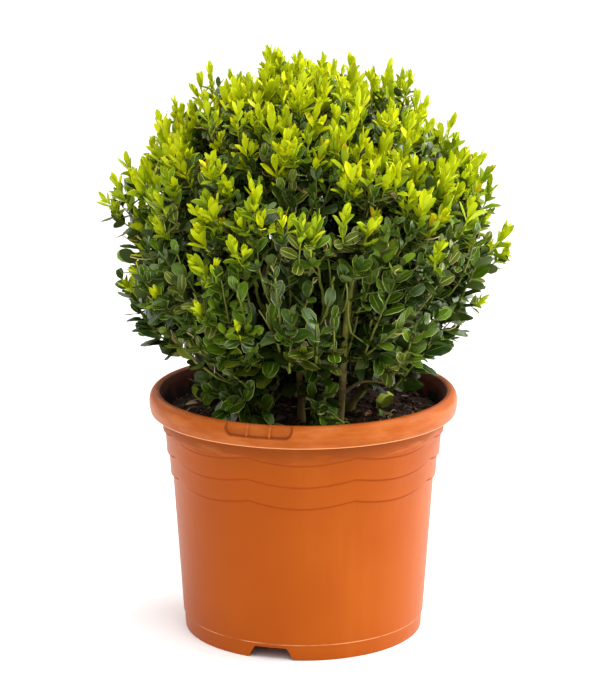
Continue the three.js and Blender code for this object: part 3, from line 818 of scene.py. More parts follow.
class Skeleton:
    """All the wood as points joined to the one before, with the direction in which each one grows."""

    def __init__(self):
        self.place = np.zeros((MOST_POINTS, 3))
        self.way = np.zeros((MOST_POINTS, 3))
        self.before = np.full(MOST_POINTS, -1)
        self.count = 0

    def add(self, place, way, before):
        i = self.count
        self.place[i] = place
        self.way[i] = way
        self.before[i] = before
        self.count += 1
        return i

    def nearest(self, target):
        """The point that is cheapest to grow from, by its distance and the turn that it takes."""
        gap = np.asarray(target) - self.place[:self.count]
        distance = np.linalg.norm(gap, axis=1) + 1e-9
        facing = (gap * self.way[:self.count]).sum(1) / distance
        cost = distance * (1.0 + TURN_COST * (1.0 - facing))
        return int(np.argmin(cost))

    def grow_to(self, target, step=BRANCH_STEP, bend=BRANCH_BEND, joint=None):
        """Joins a new growing point to the wood, at the nearest joint if none is given."""
        target = Vector(target)
        if joint is None:
            joint = self.nearest(target)
        start = Vector(self.place[joint])
        distance = (target - start).length
        leave = Vector(self.way[joint])
        direct = (target - start).normalized()
        lean = 0.6 * max(0.0, leave.dot(direct))
        control = start + (leave * lean + direct * (1 - lean)) * distance * bend
        count = max(1, round(distance / step))
        last = joint
        before = start
        for i in range(1, count + 1):
            t = i / count
            place = start * (1 - t) ** 2 + control * (2 * t * (1 - t)) + target * t * t
            if i < count:
                place = place + Vector([rng.gauss(0, BRANCH_WAVER) for _ in range(3)])
            last = self.add(place, (place - before).normalized(), last)
            before = place
        return last


skeleton = Skeleton()
for limb in limbs.values():
    centres, _ = limb.smooth(0.006)
    start = 0 if limb.name.startswith("stem") else 1
    ways = carried_frames(centres)[0]
    before = -1
    for place, way in zip(centres[start:], ways[start:]):
        if place[2] > BARE_BELOW or before == -1:
            before = skeleton.add(place, way, before)
limb_points = skeleton.count


def scattered_ways(count, seed):
    """Directions spread evenly over a sphere, each one moved a little."""
    draw = random.Random(seed)
    golden = math.pi * (3 - math.sqrt(5))
    spread = 0.6 * math.sqrt(4 * math.pi / count)
    ways = []
    for i in range(count):
        z = 1 - 2 * (i + 0.5) / count
        flat = math.sqrt(1 - z * z)
        way = Vector((flat * math.cos(golden * i), flat * math.sin(golden * i), z))
        way += Vector([draw.uniform(-spread, spread) / 2 for _ in range(3)])
        ways.append(way.normalized())
    return ways


# the frame of branches inside the ball: an inner shell of points and one under the sprays
inner_targets = []
for way in scattered_ways(150, 5):
    reach = crown_reach(way)
    if reach > LEAST_REACH:
        inner_targets.append(CROWN_CENTRE + way * reach * rng.uniform(0.40, 0.60))
for way in scattered_ways(300, 6):
    reach = crown_reach(way)
    if reach > LEAST_REACH:
        inner_targets.append(CROWN_CENTRE + way * (reach - rng.uniform(0.042, 0.058)))
inner_targets = [place for place in inner_targets if place.z > 0.214]
for target in sorted(inner_targets, key=lambda place: (place - ROOT_OF_BALL).length):
    skeleton.grow_to(target, 0.010)

# ---------------------------------------------------------------- sprays
# A spray is this year's and last year's growth: a thin green twig with opposite pairs of small
# leathery leaves, each pair turned from the last. Near the light it ends in soft new shoots of
# narrow yellow-green leaves that still press upwards.
MATURE_SHADES = [
    (34, 52, 3), (36, 59, 6), (48, 72, 5), (50, 79, 10), (64, 94, 8), (77, 107, 12), (88, 118, 17),
    (80, 96, 12), (100, 114, 19), (35, 64, 12), (43, 72, 19), (114, 142, 28), (130, 102, 52), (96, 70, 38),
    (18, 25, 6), (23, 33, 7), (30, 43, 8), (38, 53, 9),
]
MATURE_GREENS = 11
GREY_SHEEN_SHADES = (1, 3, 9, 10)
DRY_SHADES = (12, 13)
# the four darkest greens are painted shade, for leaves deep in the ball
SHADE_PAINTED_GREENS = (14, 15, 16, 17)
# how often each green is dealt out: darker ones as painted shade deep in the ball, and lighter ones added as
# painted light
WEIGHTS_IN_PAINTED_SHADE = (6, 8, 9, 9, 7, 4, 2, 4, 2, 5, 4, 0.6)
WEIGHTS_IN_PAINTED_LIGHT = (1, 2, 5, 8, 9, 9, 7, 7, 5, 2, 3, 4)
NEW_SHADES = [
    (216, 219, 14), (230, 231, 26), (200, 208, 10), (168, 186, 20), (140, 162, 22), (108, 134, 20),
    (192, 164, 20), (84, 106, 8),
]
RIPE_SHADE, GREENEST_NEW = 6, 5
TWIG_OLD, TWIG_GREEN, TWIG_NEW, TWIG_CUT = 0, 1, 2, 3
UP = Vector((0, 0, 1))


# leaves of each make, as rows of base, direction, upper side, length, width, droop, fold, curl, shade
kinds = {"fine": [], "plain": [], "inner": [], "shoot": []}
low_kinds = {"fine": [], "plain": []}
twig_tubes = Tubes()


def square_to(vector, way):
    flat = vector - way * vector.dot(way)
    return flat.normalized() if flat.length > 1e-6 else way.orthogonal().normalized()


def random_way():
    return Vector([rng.gauss(0, 1) for _ in range(3)]).normalized()


def strayed(way, amount):
    """A direction, turned a little at random."""
    return (way + random_way() * amount).normalized()


def by_level(level, levels, values):
    """A value that changes evenly between the given levels."""
    return float(np.interp(level, levels, values))


def leaf_pair(leaves, place, along, light, turn, spread, length, width, shade, grip, droop, fold,
              curl=0.3, drop=0.0, loose=0.3):
    """Two opposite leaves. grip is how far they face the twig's tip rather than the light, drop how
    often one has fallen, and loose how far each strays from its place."""
    across = along.cross(light)
    if across.length < 0.05:
        across = along.orthogonal()
    across.normalize()
    above = across.cross(along)
    for side in (1, -1):
        if rng.random() < drop:
            continue
        out = (across * math.cos(turn) + above * math.sin(turn)) * side
        angle = spread * rng.uniform(0.8, 1.2)
        way = (along * math.cos(angle) + out * math.sin(angle) + random_way() * loose * 0.4).normalized()
        inward = along * math.sin(angle) - out * math.cos(angle)
        facing = inward * grip + square_to(light, way) * (1 - grip) + random_way() * loose
        size = rng.uniform(0.82, 1.14)
        leaves.append((
            *place, *way, *square_to(facing, way), length * size, width * size * rng.uniform(0.9, 1.08),
            droop * rng.uniform(-0.2, 1.5), fold * rng.uniform(0.3, 1.6), curl * rng.uniform(-1, 1), shade,
        ))


def bend_between(start, control, end, count):
    """Points along a bent line, with the direction at each."""
    places, ways = [], []
    for i in range(count + 1):
        t = i / count
        places.append(start * (1 - t) ** 2 + control * (2 * t * (1 - t)) + end * t * t)
        way = (control - start) * (1 - t) + (end - control) * t
        ways.append(way.normalized() if way.length > 1e-9 else (end - start).normalized())
    return places, ways


def point_on(places, ways, run):
    """The place and direction a given share of the way along a line."""
    count = len(places) - 1
    at = min(count - 1, int(run * count))
    return places[at].lerp(places[at + 1], run * count - at), ways[at]


def add_twig(places, thick, thin, sides, slot, stoutness=1.0):
    radii = np.linspace(thick, thin, len(places)) * stoutness
    twig_tubes.add(np.array(places), radii, sides, slot)


def light_at(outward):
    """Where the leaves of a spray look for light: out of the ball and up."""
    return (outward * 0.7 + UP * 0.75).normalized()


def new_shoot(base, tip, outward, vigour=1.0):
    """A soft shoot up to its tip: a thin stalk, then pairs of narrow leaves that close towards the top."""
    length = (tip - base).length
    crowded = by_level(tip.z, (0.365, 0.41), (0.0, 1.0))
    way = (tip - base).normalized()
    sway = square_to(random_way(), way) * length * 0.07
    stalk_end = base + way * max(length * 0.45, length - 0.0125)
    places, ways = bend_between(base, base + way * length * 0.4 + sway, stalk_end, 4)
    add_twig(places, 0.00068, 0.00036, 4, TWIG_NEW, vigour)
    # partly their own fresher colour, partly painted light: the lightest yellow-greens go more often to
    # shoots on top
    shade = rng.choices(range(5), (6, 7, 4, 1.5, 0.6) if tip.z > 0.385 else (2, 1, 6, 6, 3))[0]
    light = light_at(outward)
    pairs = 3 + (length > 0.025 - 0.003 * crowded) + (length > 0.034)
    turn = rng.uniform(0, math.pi)
    full = min(0.0180, max(0.0115, length * 0.5)) * rng.uniform(0.9, 1.1) * (1.0 - 0.16 * crowded)
    slim = rng.uniform(0.37, 0.45) * (1.0 - 0.08 * crowded)
    ripe = rng.random() < 0.12
    for pair in range(pairs):
        t = pair / (pairs - 1)
        place, along = point_on(places, ways, 0.16 + 0.84 * t ** 0.9)
        spread = math.radians(52 - 40 * t ** 0.65) * rng.uniform(0.85, 1.2)
        size = full * (0.74, 0.96, 1.0, 0.94, 0.86)[min(4, pair + (5 - pairs))]
        greener = min(GREENEST_NEW, shade + (3 if t < 0.1 else 1 if t < 0.45 else 0))
        leaf_pair(
            kinds["shoot"], place, along, light, turn, spread, size, size * slim * (1.12 - 0.25 * t),
            RIPE_SHADE if ripe and t > 0.6 else greener,
            grip=0.7 + 0.25 * t, droop=-0.25 if t > 0.4 else 0.3, fold=0.75, drop=0.02, loose=0.16,
        )
        turn += math.pi / 2 + rng.uniform(-0.2, 0.2)
    # the closed pair of leaves at the very tip
    size = length * 0.33
    leaf_pair(kinds["shoot"], places[-1], ways[-1], light, turn, math.radians(8), size, size * 0.28,
              max(0, shade - 1), grip=0.95, droop=-0.1, fold=0.7, curl=0.2, loose=0.08)


def side_twig(place, along, light, length, leaf_length, shade, store):
    """A short leafy twig from a leaf's corner. About one in fourteen has dried out."""
    side = square_to(random_way() + light * 0.3, along)
    end = place + (along * 0.75 + side * 0.6 + UP * 0.2).normalized() * length
    if spare_reach(end) < 0.004:
        return
    control = place + (side * 0.7 + along * 0.5).normalized() * length * 0.45
    places, ways = bend_between(place, control, end, 3)
    add_twig(places, 0.0006, 0.00036, 3, TWIG_GREEN)
    dry = rng.random() < 0.07
    turn = rng.uniform(0, math.pi)
    pairs = max(2, round(length / 0.0075))
    for pair in range(pairs):
        run = (pair + 1) / pairs
        spot, way = point_on(places, ways, run * 0.999)
        spread = math.radians(rng.uniform(36, 62) - 20 * run)
        size = leaf_length * rng.uniform(0.7, 1.0)
        width = size * (0.3 if dry else rng.uniform(0.5, 0.6))
        leaf_pair(store["fine"], spot, way, light, turn, spread, size, width,
                  rng.choice(DRY_SHADES) if dry else shade,
                  grip=0.5, droop=1.6 if dry else 0.3, fold=0.25, drop=0.06, loose=0.35)
        turn += math.radians(75)


def leafy_twig(base, start_way, end, heading, length, outward, store, leaf_length, gap, bare, shade,
               closing, fine_depth, side_chance):
    """A twig with pairs of mature leaves, from its base to its end. bare is the share without leaves,
    closing shuts its last pairs, and leaves nearer its end than fine_depth have all their detail;
    the others take the darkest greens as painted shade."""
    direct = (end - base).normalized()
    lean = 0.55 * max(0.0, start_way.dot(direct))
    leaving = (start_way * lean + direct * 0.3 + heading * (0.7 - lean)).normalized()
    count = max(4, round(length / 0.0075))
    places, ways = bend_between(base, base + leaving * length * 0.45, end, count)
    add_twig(places, 0.00098, 0.0005, 4, TWIG_GREEN, by_level(end.z, (0.28, 0.36), (1.25, 0.95)))
    light = light_at(outward)
    turn = rng.choice((0.0, math.pi / 2)) + rng.uniform(-0.4, 0.4)
    pairs = max(2, round(length * (1 - bare) / gap))
    for pair in range(pairs + 1):
        run = bare + (1 - bare) * pair / pairs
        place, along = point_on(places, ways, run * 0.9999)
        swell = 0.74 + 0.34 * math.sin(math.pi * min(1.0, 0.15 + 0.75 * run))
        size = leaf_length * swell * rng.uniform(0.88, 1.1)
        spread = math.radians(rng.uniform(44, 70) - (26 if closing else 8) * run)
        outer = (1 - run) * length < fine_depth
        width = size * rng.uniform(0.50, 0.60)
        quarter = math.radians(58) if pair % 2 else 0.0
        # painted shade: leaves deeper in the spray take the darkest greens
        leaf_pair(store["fine" if outer else "plain"], place, along, light, turn + quarter, spread,
                  size, width, shade if outer else rng.choice(SHADE_PAINTED_GREENS[1:]),
                  grip=0.42, droop=0.3, fold=0.34, drop=0.07, loose=0.42)
        if 0.1 < run < 0.9 and rng.random() < side_chance:
            side_length = rng.uniform(0.011, 0.024)
            side_twig(place, along, light, side_length, leaf_length * 0.85, shade, store)
    if closing:
        leaf_pair(store["fine"], places[-1], ways[-1], light, turn + math.pi / 2, math.radians(20),
                  leaf_length * 0.62, leaf_length * 0.27, min(MATURE_GREENS, shade + 1),
                  grip=0.8, droop=0.1, fold=0.4, curl=0.2, loose=0.2)
    return places, ways


def mature_shade(lighter):
    """A green for one spray. lighter is painted light: the higher it is, the more often a lighter green is
    dealt out.
    """
    deep = np.array(WEIGHTS_IN_PAINTED_SHADE) * by_level(lighter, (0, 1), (1.0, 0.0))
    weights = deep + np.array(WEIGHTS_IN_PAINTED_LIGHT) * lighter
    return rng.choices(range(len(weights)), weights)[0]


def fresh_spray(tip, outward):
    """A clipped twig whose cut end has sent up one to four new shoots."""
    rise = by_level(tip.z, (0.28, 0.40), (0.65, 1.25))
    weights = (1, 3, 5, 3) if tip.z > 0.37 else (4, 5, 2, 0) if tip.z > 0.31 else (6, 3, 0, 0)
    shoots = rng.choices((1, 2, 3, 4), weights)[0]
    reach = rng.uniform(0.025, 0.038) if tip.z > 0.31 else rng.uniform(0.020, 0.029)
    stand = strayed(outward * 0.55 + UP * rise, 0.25)
    fork = tip - stand * reach
    length = rng.uniform(0.024, 0.034)
    heading = strayed(outward + UP * 0.4, 0.25)
    base = fork - heading * length
    joint = skeleton.grow_to(base)
    # painted light: lighter greens for the leaves under the new shoots on top
    shade = mature_shade(by_level(tip.z, (0.37, 0.41), (0.35, 0.95)))
    places, ways = leafy_twig(
        base, Vector(skeleton.way[joint]), fork, heading, length, outward, kinds,
        leaf_length=rng.uniform(0.0125, 0.0165), gap=0.0075, bare=0.12, shade=shade,
        closing=False, fine_depth=0.018, side_chance=0.25,
    )
    new_shoot(fork, tip, outward)
    swing = rng.uniform(0, 2 * math.pi)
    side = Matrix.Rotation(swing, 3, stand) @ square_to(random_way(), stand)
    for other in range(shoots - 1):
        side = (Matrix.Rotation(other * 2.1, 3, stand) @ side).normalized()
        lean = (stand + side * rng.uniform(0.30, 0.55) + UP * 0.1).normalized()
        start, _ = point_on(places, ways, rng.uniform(0.84, 0.999))
        new_shoot(start, start + lean * reach * rng.uniform(0.62, 0.92), outward, 0.9)


def cut_stub(place, heading):
    """A clipped, dried side shoot: a thin bent stub, tan all along."""
    side = square_to(random_way(), heading)
    length = rng.uniform(0.009, 0.020)
    elbow = place + (side * 0.8 + heading * 0.5).normalized() * length * 0.6
    end = elbow + strayed(heading * 0.8, 0.5) * length * 0.5
    places, _ = bend_between(place, elbow, end, 3)
    add_twig(places, 0.00062, 0.00044, 3, TWIG_CUT)


def mature_spray(tip, way, outward, store, big, lighter, low=False):
    """A twig of last year's growth, in full leaf to its end."""
    leaf_length = rng.uniform(0.0115, 0.0185) * big
    rise = by_level(tip.z, (0.21, 0.25, 0.31, 0.40), (0.35, 0.8, 1.0, 0.9))
    heading = strayed(way * 0.75 + UP * rise, 0.26)
    end = tip - heading * leaf_length * 0.55
    length = rng.uniform(0.040, 0.064)
    if low:
        heading = strayed(way * 0.7 + outward * 0.5 + UP * 0.1, 0.25)
        length = rng.uniform(0.018, 0.030)
    base = end - heading * length
    joint = skeleton.grow_to(base)
    gap = rng.uniform(0.0072, 0.0098) * (0.5 + 0.5 * big)
    shade = mature_shade(lighter)
    glossy = shade in GREY_SHEEN_SHADES
    if glossy and tip.x < -0.02 and rng.random() < 0.7:
        shade = min(MATURE_GREENS, shade + 1)
    elif not glossy and tip.x > 0.03 and tip.z < 0.31 and rng.random() < 0.4:
        shade = rng.choice(GREY_SHEEN_SHADES)
    leafy_twig(
        base, Vector(skeleton.way[joint]), end, heading, length, outward, store,
        leaf_length, gap, bare=0.10, shade=shade,
        closing=True, fine_depth=0.015 if low else 0.034, side_chance=0.0 if low else 0.22,
    )
    if not low and rng.random() < 0.35:
        cut_stub(base.lerp(end, rng.uniform(0.55, 0.9)), heading)


# ---------------------------------------------------------------- clipped ball
# The shears left a ball whose sprays now stand out unevenly: fresh growth crowds its top, fewer
# shoots stand at its sides, and last year's leaves show low down and in three hollows of the front.
CLIPPED_RADIUS = 0.148
SPRAY_COUNT = 820
SPRAY_GAP = 0.009
PEAK_REACH = 0.1475
PEAKS_ABOVE = 0.26
# hollows among the new growth by x, z and radius, and single late shoots of the front by x and z
SHADED_HOLLOWS = [(-0.059, 0.392, 0.031), (0.002, 0.375, 0.024), (0.098, 0.398, 0.016)]
LATE_SHOOTS = [
    (-0.084, 0.343), (-0.062, 0.383), (-0.041, 0.382), (-0.030, 0.358), (-0.018, 0.362), (0.009, 0.357),
    (0.032, 0.363), (0.038, 0.390), (0.064, 0.384), (0.082, 0.376), (0.103, 0.348), (-0.053, 0.271),
    (-0.088, 0.285), (-0.066, 0.322), (0.055, 0.352),
]
# long straight olive shoots that fan out from the boughs of the front stem
FAN = [
    ("bough_front_a", (-0.038, -0.114, 0.318)), ("bough_front_a", (-0.019, -0.122, 0.344)),
    ("bough_front_b", (0.004, -0.126, 0.336)), ("bough_front_b", (0.022, -0.120, 0.304)),
]


def in_hollow(place):
    """True where last year's leaves show between the new shoots of the front."""
    hollows = [radius > math.hypot(place.x - x, place.z - z) for x, z, radius in SHADED_HOLLOWS]
    return place.y < 0 and any(hollows)


def freshness(place):
    """How often a spray ends in new growth: nearly always on top, more at the sides, seldom low down."""
    front = abs(place.y) / math.hypot(place.x, place.y)
    on_front = by_level(place.z, (0.24, 0.29, 0.33, 0.365, 0.385, 0.40), (0.01, 0.03, 0.10, 0.24, 0.78, 1.0))
    on_sides = by_level(place.z, (0.25, 0.28, 0.32, 0.35, 0.38), (0.0, 0.10, 0.48, 0.88, 0.99))
    return (on_front * front + on_sides * (1 - front)) * (0.08 if in_hollow(place) else 1.0)


def crown_peaks():
    """The corners of the ball's solid that stand out above all their neighbours."""
    places = np.round(np.array([v.co for v in crown.vertices]), 5)
    unique, index = np.unique(places, axis=0, return_inverse=True)
    index = index.ravel()
    reach = np.linalg.norm(unique - np.array(CROWN_CENTRE), axis=1)
    highest = np.zeros(len(unique))
    for edge in crown.edges:
        a, b = index[edge.vertices[0]], index[edge.vertices[1]]
        highest[a] = max(highest[a], reach[b])
        highest[b] = max(highest[b], reach[a])
    chosen = (reach > highest) & (reach > PEAK_REACH) & (unique[:, 2] > PEAKS_ABOVE)
    return [Vector(place) for place in unique[chosen]]


def side_share(x):
    """0 in the middle of the ball and 1 at its side."""
    return min(1.0, max(0.0, x / 0.13)) ** 2


def fullness(tip):
    """How far the sprays stand out from the clipped line: fuller on top and on the upper right and
    left, less low down."""
    left = by_level(tip.z, (0.285, 0.30, 0.338, 0.355, 0.385, 0.40), (0.0, -0.002, -0.001, 0.010, 0.008, 0.0))
    right = by_level(tip.z, (0.215, 0.235, 0.25, 0.295, 0.315, 0.375, 0.39),
                     (0.008, 0.004, -0.008, -0.010, 0.012, 0.013, 0.0))
    top = by_level(tip.z, (0.395, 0.42), (0.0, 0.009))
    return left * side_share(-tip.x) + right * side_share(tip.x) + top


fan_tips = []
for name, tip in FAN:
    from_end = np.linalg.norm(skeleton.place[:limb_points] - limbs[name].centres[-1], axis=1)
    fan_tips.append(skeleton.grow_to(tip, 0.006, 0.3, int(np.argmin(from_end))))

# each spray has a tip, the direction from the ball's centre to it, and a chance of new growth
sprays = []
peaks = crown_peaks()
for tip in peaks:
    way = (tip - CROWN_CENTRE).normalized()
    if tip.x < -0.125:
        tip = tip - way * 0.005
    sprays.append((tip, way, 1.0 if tip.z > 0.285 else 0.3))
for x, z in LATE_SHOOTS:
    rise = z - CROWN_CENTRE.z
    way = Vector((x, -math.sqrt(CLIPPED_RADIUS ** 2 - x ** 2 - rise ** 2), rise)).normalized()
    tip = CROWN_CENTRE + way * crown_reach(way)
    peaks.append(tip)
    sprays.append((tip, way, 1.0))
for way in scattered_ways(SPRAY_COUNT, 9):
    reach = crown_reach(way)
    if reach < LEAST_REACH:
        continue
    tip = CROWN_CENTRE + way * (reach - rng.uniform(0.0, 0.010))
    if any((tip - peak).length < SPRAY_GAP for peak in peaks):
        continue
    crowding = by_level(tip.z, (0.215, 0.245, 0.29, 0.355, 0.38), (0.32, 0.50, 0.68, 0.78, 1.0))
    if tip.x > 0.05 and 0.235 < tip.z < 0.262:
        crowding = crowding * 0.7
    if rng.random() > crowding or (tip.x < -0.092 and tip.y < 0.06 and tip.z < 0.230):
        continue
    if tip.x < 0.05:
        tip = tip - way * by_level(tip.z, (0.232, 0.246), (0.015, 0.0))
    tip = tip + way * fullness(tip)
    sprays.append((tip, way, freshness(tip)))
sprays.sort(key=lambda spray: (spray[0] - ROOT_OF_BALL).length)
for tip, way, fresh in sprays:
    if rng.random() < fresh:
        fresh_spray(tip, way)
    else:
        big = by_level(tip.z, (0.22, 0.30, 0.36), (1.30, 1.08, 0.92))
        set_back = by_level(tip.z, (0.31, 0.36), (0.0, 0.012))
        # painted light and shade: darker greens for sprays in the hollows, lighter ones low down and on top
        lighter = 0.1 if in_hollow(tip) else by_level(tip.z, (0.24, 0.31, 0.40), (0.65, 0.35, 0.60))
        mature_spray(tip - way * set_back, way, way, kinds, big, lighter)

# looser sprays hang over the rim from the low boughs, thinnest at both sides of the front
LOW_SPRAYS = {
    "foliage_front_left": 11, "foliage_front": 8, "foliage_front_right": 5, "foliage_right": 6,
    "foliage_left": 6,
}
OTHER_LOW_SPRAYS = 9
low_names = [name for name in nodes if name.startswith("foliage_")]
for name in sorted(low_names):
    low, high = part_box(name)
    middle = (low + high) / 2
    half = (high - low) / 2
    count = LOW_SPRAYS.get(name, OTHER_LOW_SPRAYS)
    lowest = 0.180 if count > 6 else 0.191
    for way in scattered_ways(count, len(name)):
        tip = middle + Vector([way[i] * half[i] * rng.uniform(0.86, 1.0) for i in range(3)])
        outward = Vector((tip.x, tip.y, 0)).normalized()
        bare_right = tip.y < 0.05 and tip.x > 0.040 and tip.z < 0.220
        bare_left = (tip.y < 0.05 and tip.x < -0.066 and tip.z < 0.204) or (tip.y < 0.06 and tip.x < -0.088)
        if not (bare_right or bare_left or tip.z < lowest or spare_reach(tip) > 0):
            # painted light: the low sprays are dealt lighter greens
            mature_spray(tip, way, outward, low_kinds, rng.uniform(1.0, 1.3), 0.50, True)

# older leaves still sit in pairs on the wood behind the sprays, in the darkest greens as painted shade
for i in range(limb_points, skeleton.count):
    place = Vector(skeleton.place[i])
    outward = (place - CROWN_CENTRE).normalized()
    if crown_reach(outward) > 0 and 0.012 < spare_reach(place) < 0.075 and rng.random() < 0.8:
        turn, spread = rng.uniform(0, math.pi), math.radians(rng.uniform(45, 75))
        length, width = rng.uniform(0.014, 0.020), rng.uniform(0.0075, 0.0105)
        leaf_pair(kinds["inner"], place, Vector(skeleton.way[i]), light_at(outward), turn, spread,
                  length, width, rng.choice(SHADE_PAINTED_GREENS), grip=0.3, droop=0.4, fold=0.2, drop=0.15)

# ---------------------------------------------------------------- twigs
# The fine branches behind the sprays are as thick as what they carry: olive-brown where they are
# old and green further out. They are joined with the twigs of the sprays.
OWN_THICKNESS = 0.00062
THICKEST_BRANCH = 0.0019
OLD_WOOD_FROM = 0.0010
JOINING_POWER = 2.4


def chain_of(point):
    """The places of a branch, from its tip back to the limb that it grew from."""
    chain = [point]
    while skeleton.before[chain[-1]] >= limb_points:
        chain.append(int(skeleton.before[chain[-1]]))
    return chain


thickness = np.zeros(skeleton.count)
for i in range(skeleton.count - 1, limb_points - 1, -1):
    if thickness[i] == 0:
        thickness[i] = OWN_THICKNESS ** JOINING_POWER
    parent = skeleton.before[i]
    if parent >= limb_points:
        thickness[parent] += thickness[i]
thickness = np.minimum(thickness ** (1 / JOINING_POWER), THICKEST_BRANCH)
for tip in fan_tips:
    chain = chain_of(tip)
    thickness[chain] = np.maximum(thickness[chain], np.linspace(0.0008, 0.0015, len(chain)))
children = {}
for i in range(limb_points, skeleton.count):
    children.setdefault(int(skeleton.before[i]), []).append(i)


def thickest(born):
    return max(born, key=lambda child: thickness[child])


def branch_line(first):
    """The line that a branch follows from one point, taking its thickest child each time."""
    line = [first]
    while line[-1] in children:
        line.append(thickest(children[line[-1]]))
    return line


fan_points = {point for tip in fan_tips for point in chain_of(tip)}
starts = []
for parent, born in children.items():
    heir = thickest(born) if parent >= limb_points else None
    starts += [child for child in born if child != heir]
for first in sorted(starts):
    line = branch_line(first)
    centres = skeleton.place[[skeleton.before[first], *line]]
    radii = thickness[[first, *line]]
    is_thick = radii[0] > OLD_WOOD_FROM
    slot = TWIG_OLD if is_thick and fan_points.isdisjoint(line) else TWIG_GREEN
    twig_tubes.add(centres, radii, 6 if is_thick else 4, slot)

TWIG_FINISHES = [
    plain_finish("olive_brown_twig", (104, 88, 46), 0.7),
    plain_finish("green_twig", (108, 116, 28), 0.6),
    plain_finish("new_green_stalk", (170, 184, 30), 0.5),
    plain_finish("cut_twig_end", (204, 180, 118), 0.8),
]
twigs = twig_tubes.build("twigs", TWIG_FINISHES)
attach(twigs, "root")

# ---------------------------------------------------------------- leaves
# Box leaves are oval, leathery and glossy, with a fine pale edge and midrib and a pale underside,
# on a very short stalk. New ones are narrower, soft and yellow-green.
# Each make is a thin bowed blade: rows of [place along the leaf, half-width], columns across it, and
# what each strip between two columns is. A row of points below the midrib closes its underside.
BLADE, EDGE, UNDER, RIB = 0, 1, 2, 3
LEAF_MAKES = {
    "fine": (
        [(0.0, 0.10), (0.20, 0.66), (0.50, 1.0), (0.80, 0.84), (0.985, 0.30)],
        (-1.0, -0.92, -0.045, 0.045, 0.92, 1.0), (EDGE, BLADE, RIB, BLADE, EDGE),
    ),
    "plain": ([(0.0, 0.10), (0.30, 0.86), (0.70, 0.94), (0.985, 0.26)], (-1.0, 0.0, 1.0), (BLADE, BLADE)),
    "inner": ([(0.0, 0.12), (0.45, 1.0), (0.97, 0.30)], (-1.0, 0.0, 1.0), (BLADE, BLADE)),
    "shoot": (
        [(0.0, 0.16), (0.24, 0.62), (0.55, 1.0), (0.82, 0.80), (0.99, 0.20)],
        (-1.0, -0.84, 0.0, 0.84, 1.0), (EDGE, BLADE, BLADE, EDGE),
    ),
}
LEAF_THICKNESS = 0.00032
LEAF_SHEEN = {"Specular IOR Level": 0.48, "Specular Tint": (0.80, 1.0, 0.50, 1.0)}
GREY_SHEEN = {"Specular IOR Level": 0.85, "Specular Tint": (0.92, 1.0, 0.78, 1.0)}
NEW_SHEEN = {"Specular IOR Level": 0.30, "Specular Tint": (0.95, 1.0, 0.30, 1.0)}
# leaves stand apart in front of two stems and of the fan: half-width, from and to level, and share
CLEARINGS = [
    ("stem_front_right", 0.0080, 0.190, 0.224, 0.75), ("stem_front_right", 0.0080, 0.252, 0.294, 0.92),
    ("stem_front", 0.0085, 0.185, 0.232, 0.92),
]


def opened(rows):
    """The leaves that are left when most of those in front of the bare wood are gone."""
    rows = np.array(rows)
    kept = np.ones(len(rows), bool)
    draw = np.random.default_rng(7)
    lines = [(limbs[name].smooth(0.004)[0], *measures) for name, *measures in CLEARINGS]
    for tip in fan_tips:
        line = skeleton.place[chain_of(tip)[::-1]]
        lines.append((line, 0.0040, line[:, 2].min(), line[:, 2].max() - 0.012, 0.8))
    for line, half_width, low, high, share in lines:
        line = line[np.argsort(line[:, 2])]
        inside = np.zeros(len(rows), bool)
        for run in (0.0, 0.5, 1.0):
            place = rows[:, 0:3] + rows[:, 3:6] * rows[:, 9:10] * run
            line_x, line_y = (np.interp(place[:, 2], line[:, 2], line[:, axis]) for axis in (0, 1))
            level = (place[:, 2] > low) & (place[:, 2] < high)
            inside |= level & (np.abs(place[:, 0] - line_x) < half_width) & (place[:, 1] < line_y + 0.004)
        kept &= ~(inside & (draw.random(len(rows)) < share))
    return rows[kept]


def under_the_top(row):
    """False for a mature leaf that would stand out of the new growth on top."""
    end = Vector(row[0:3]) + Vector(row[3:6]) * row[9]
    return end.z < 0.375 or spare_reach(end) > 0.010


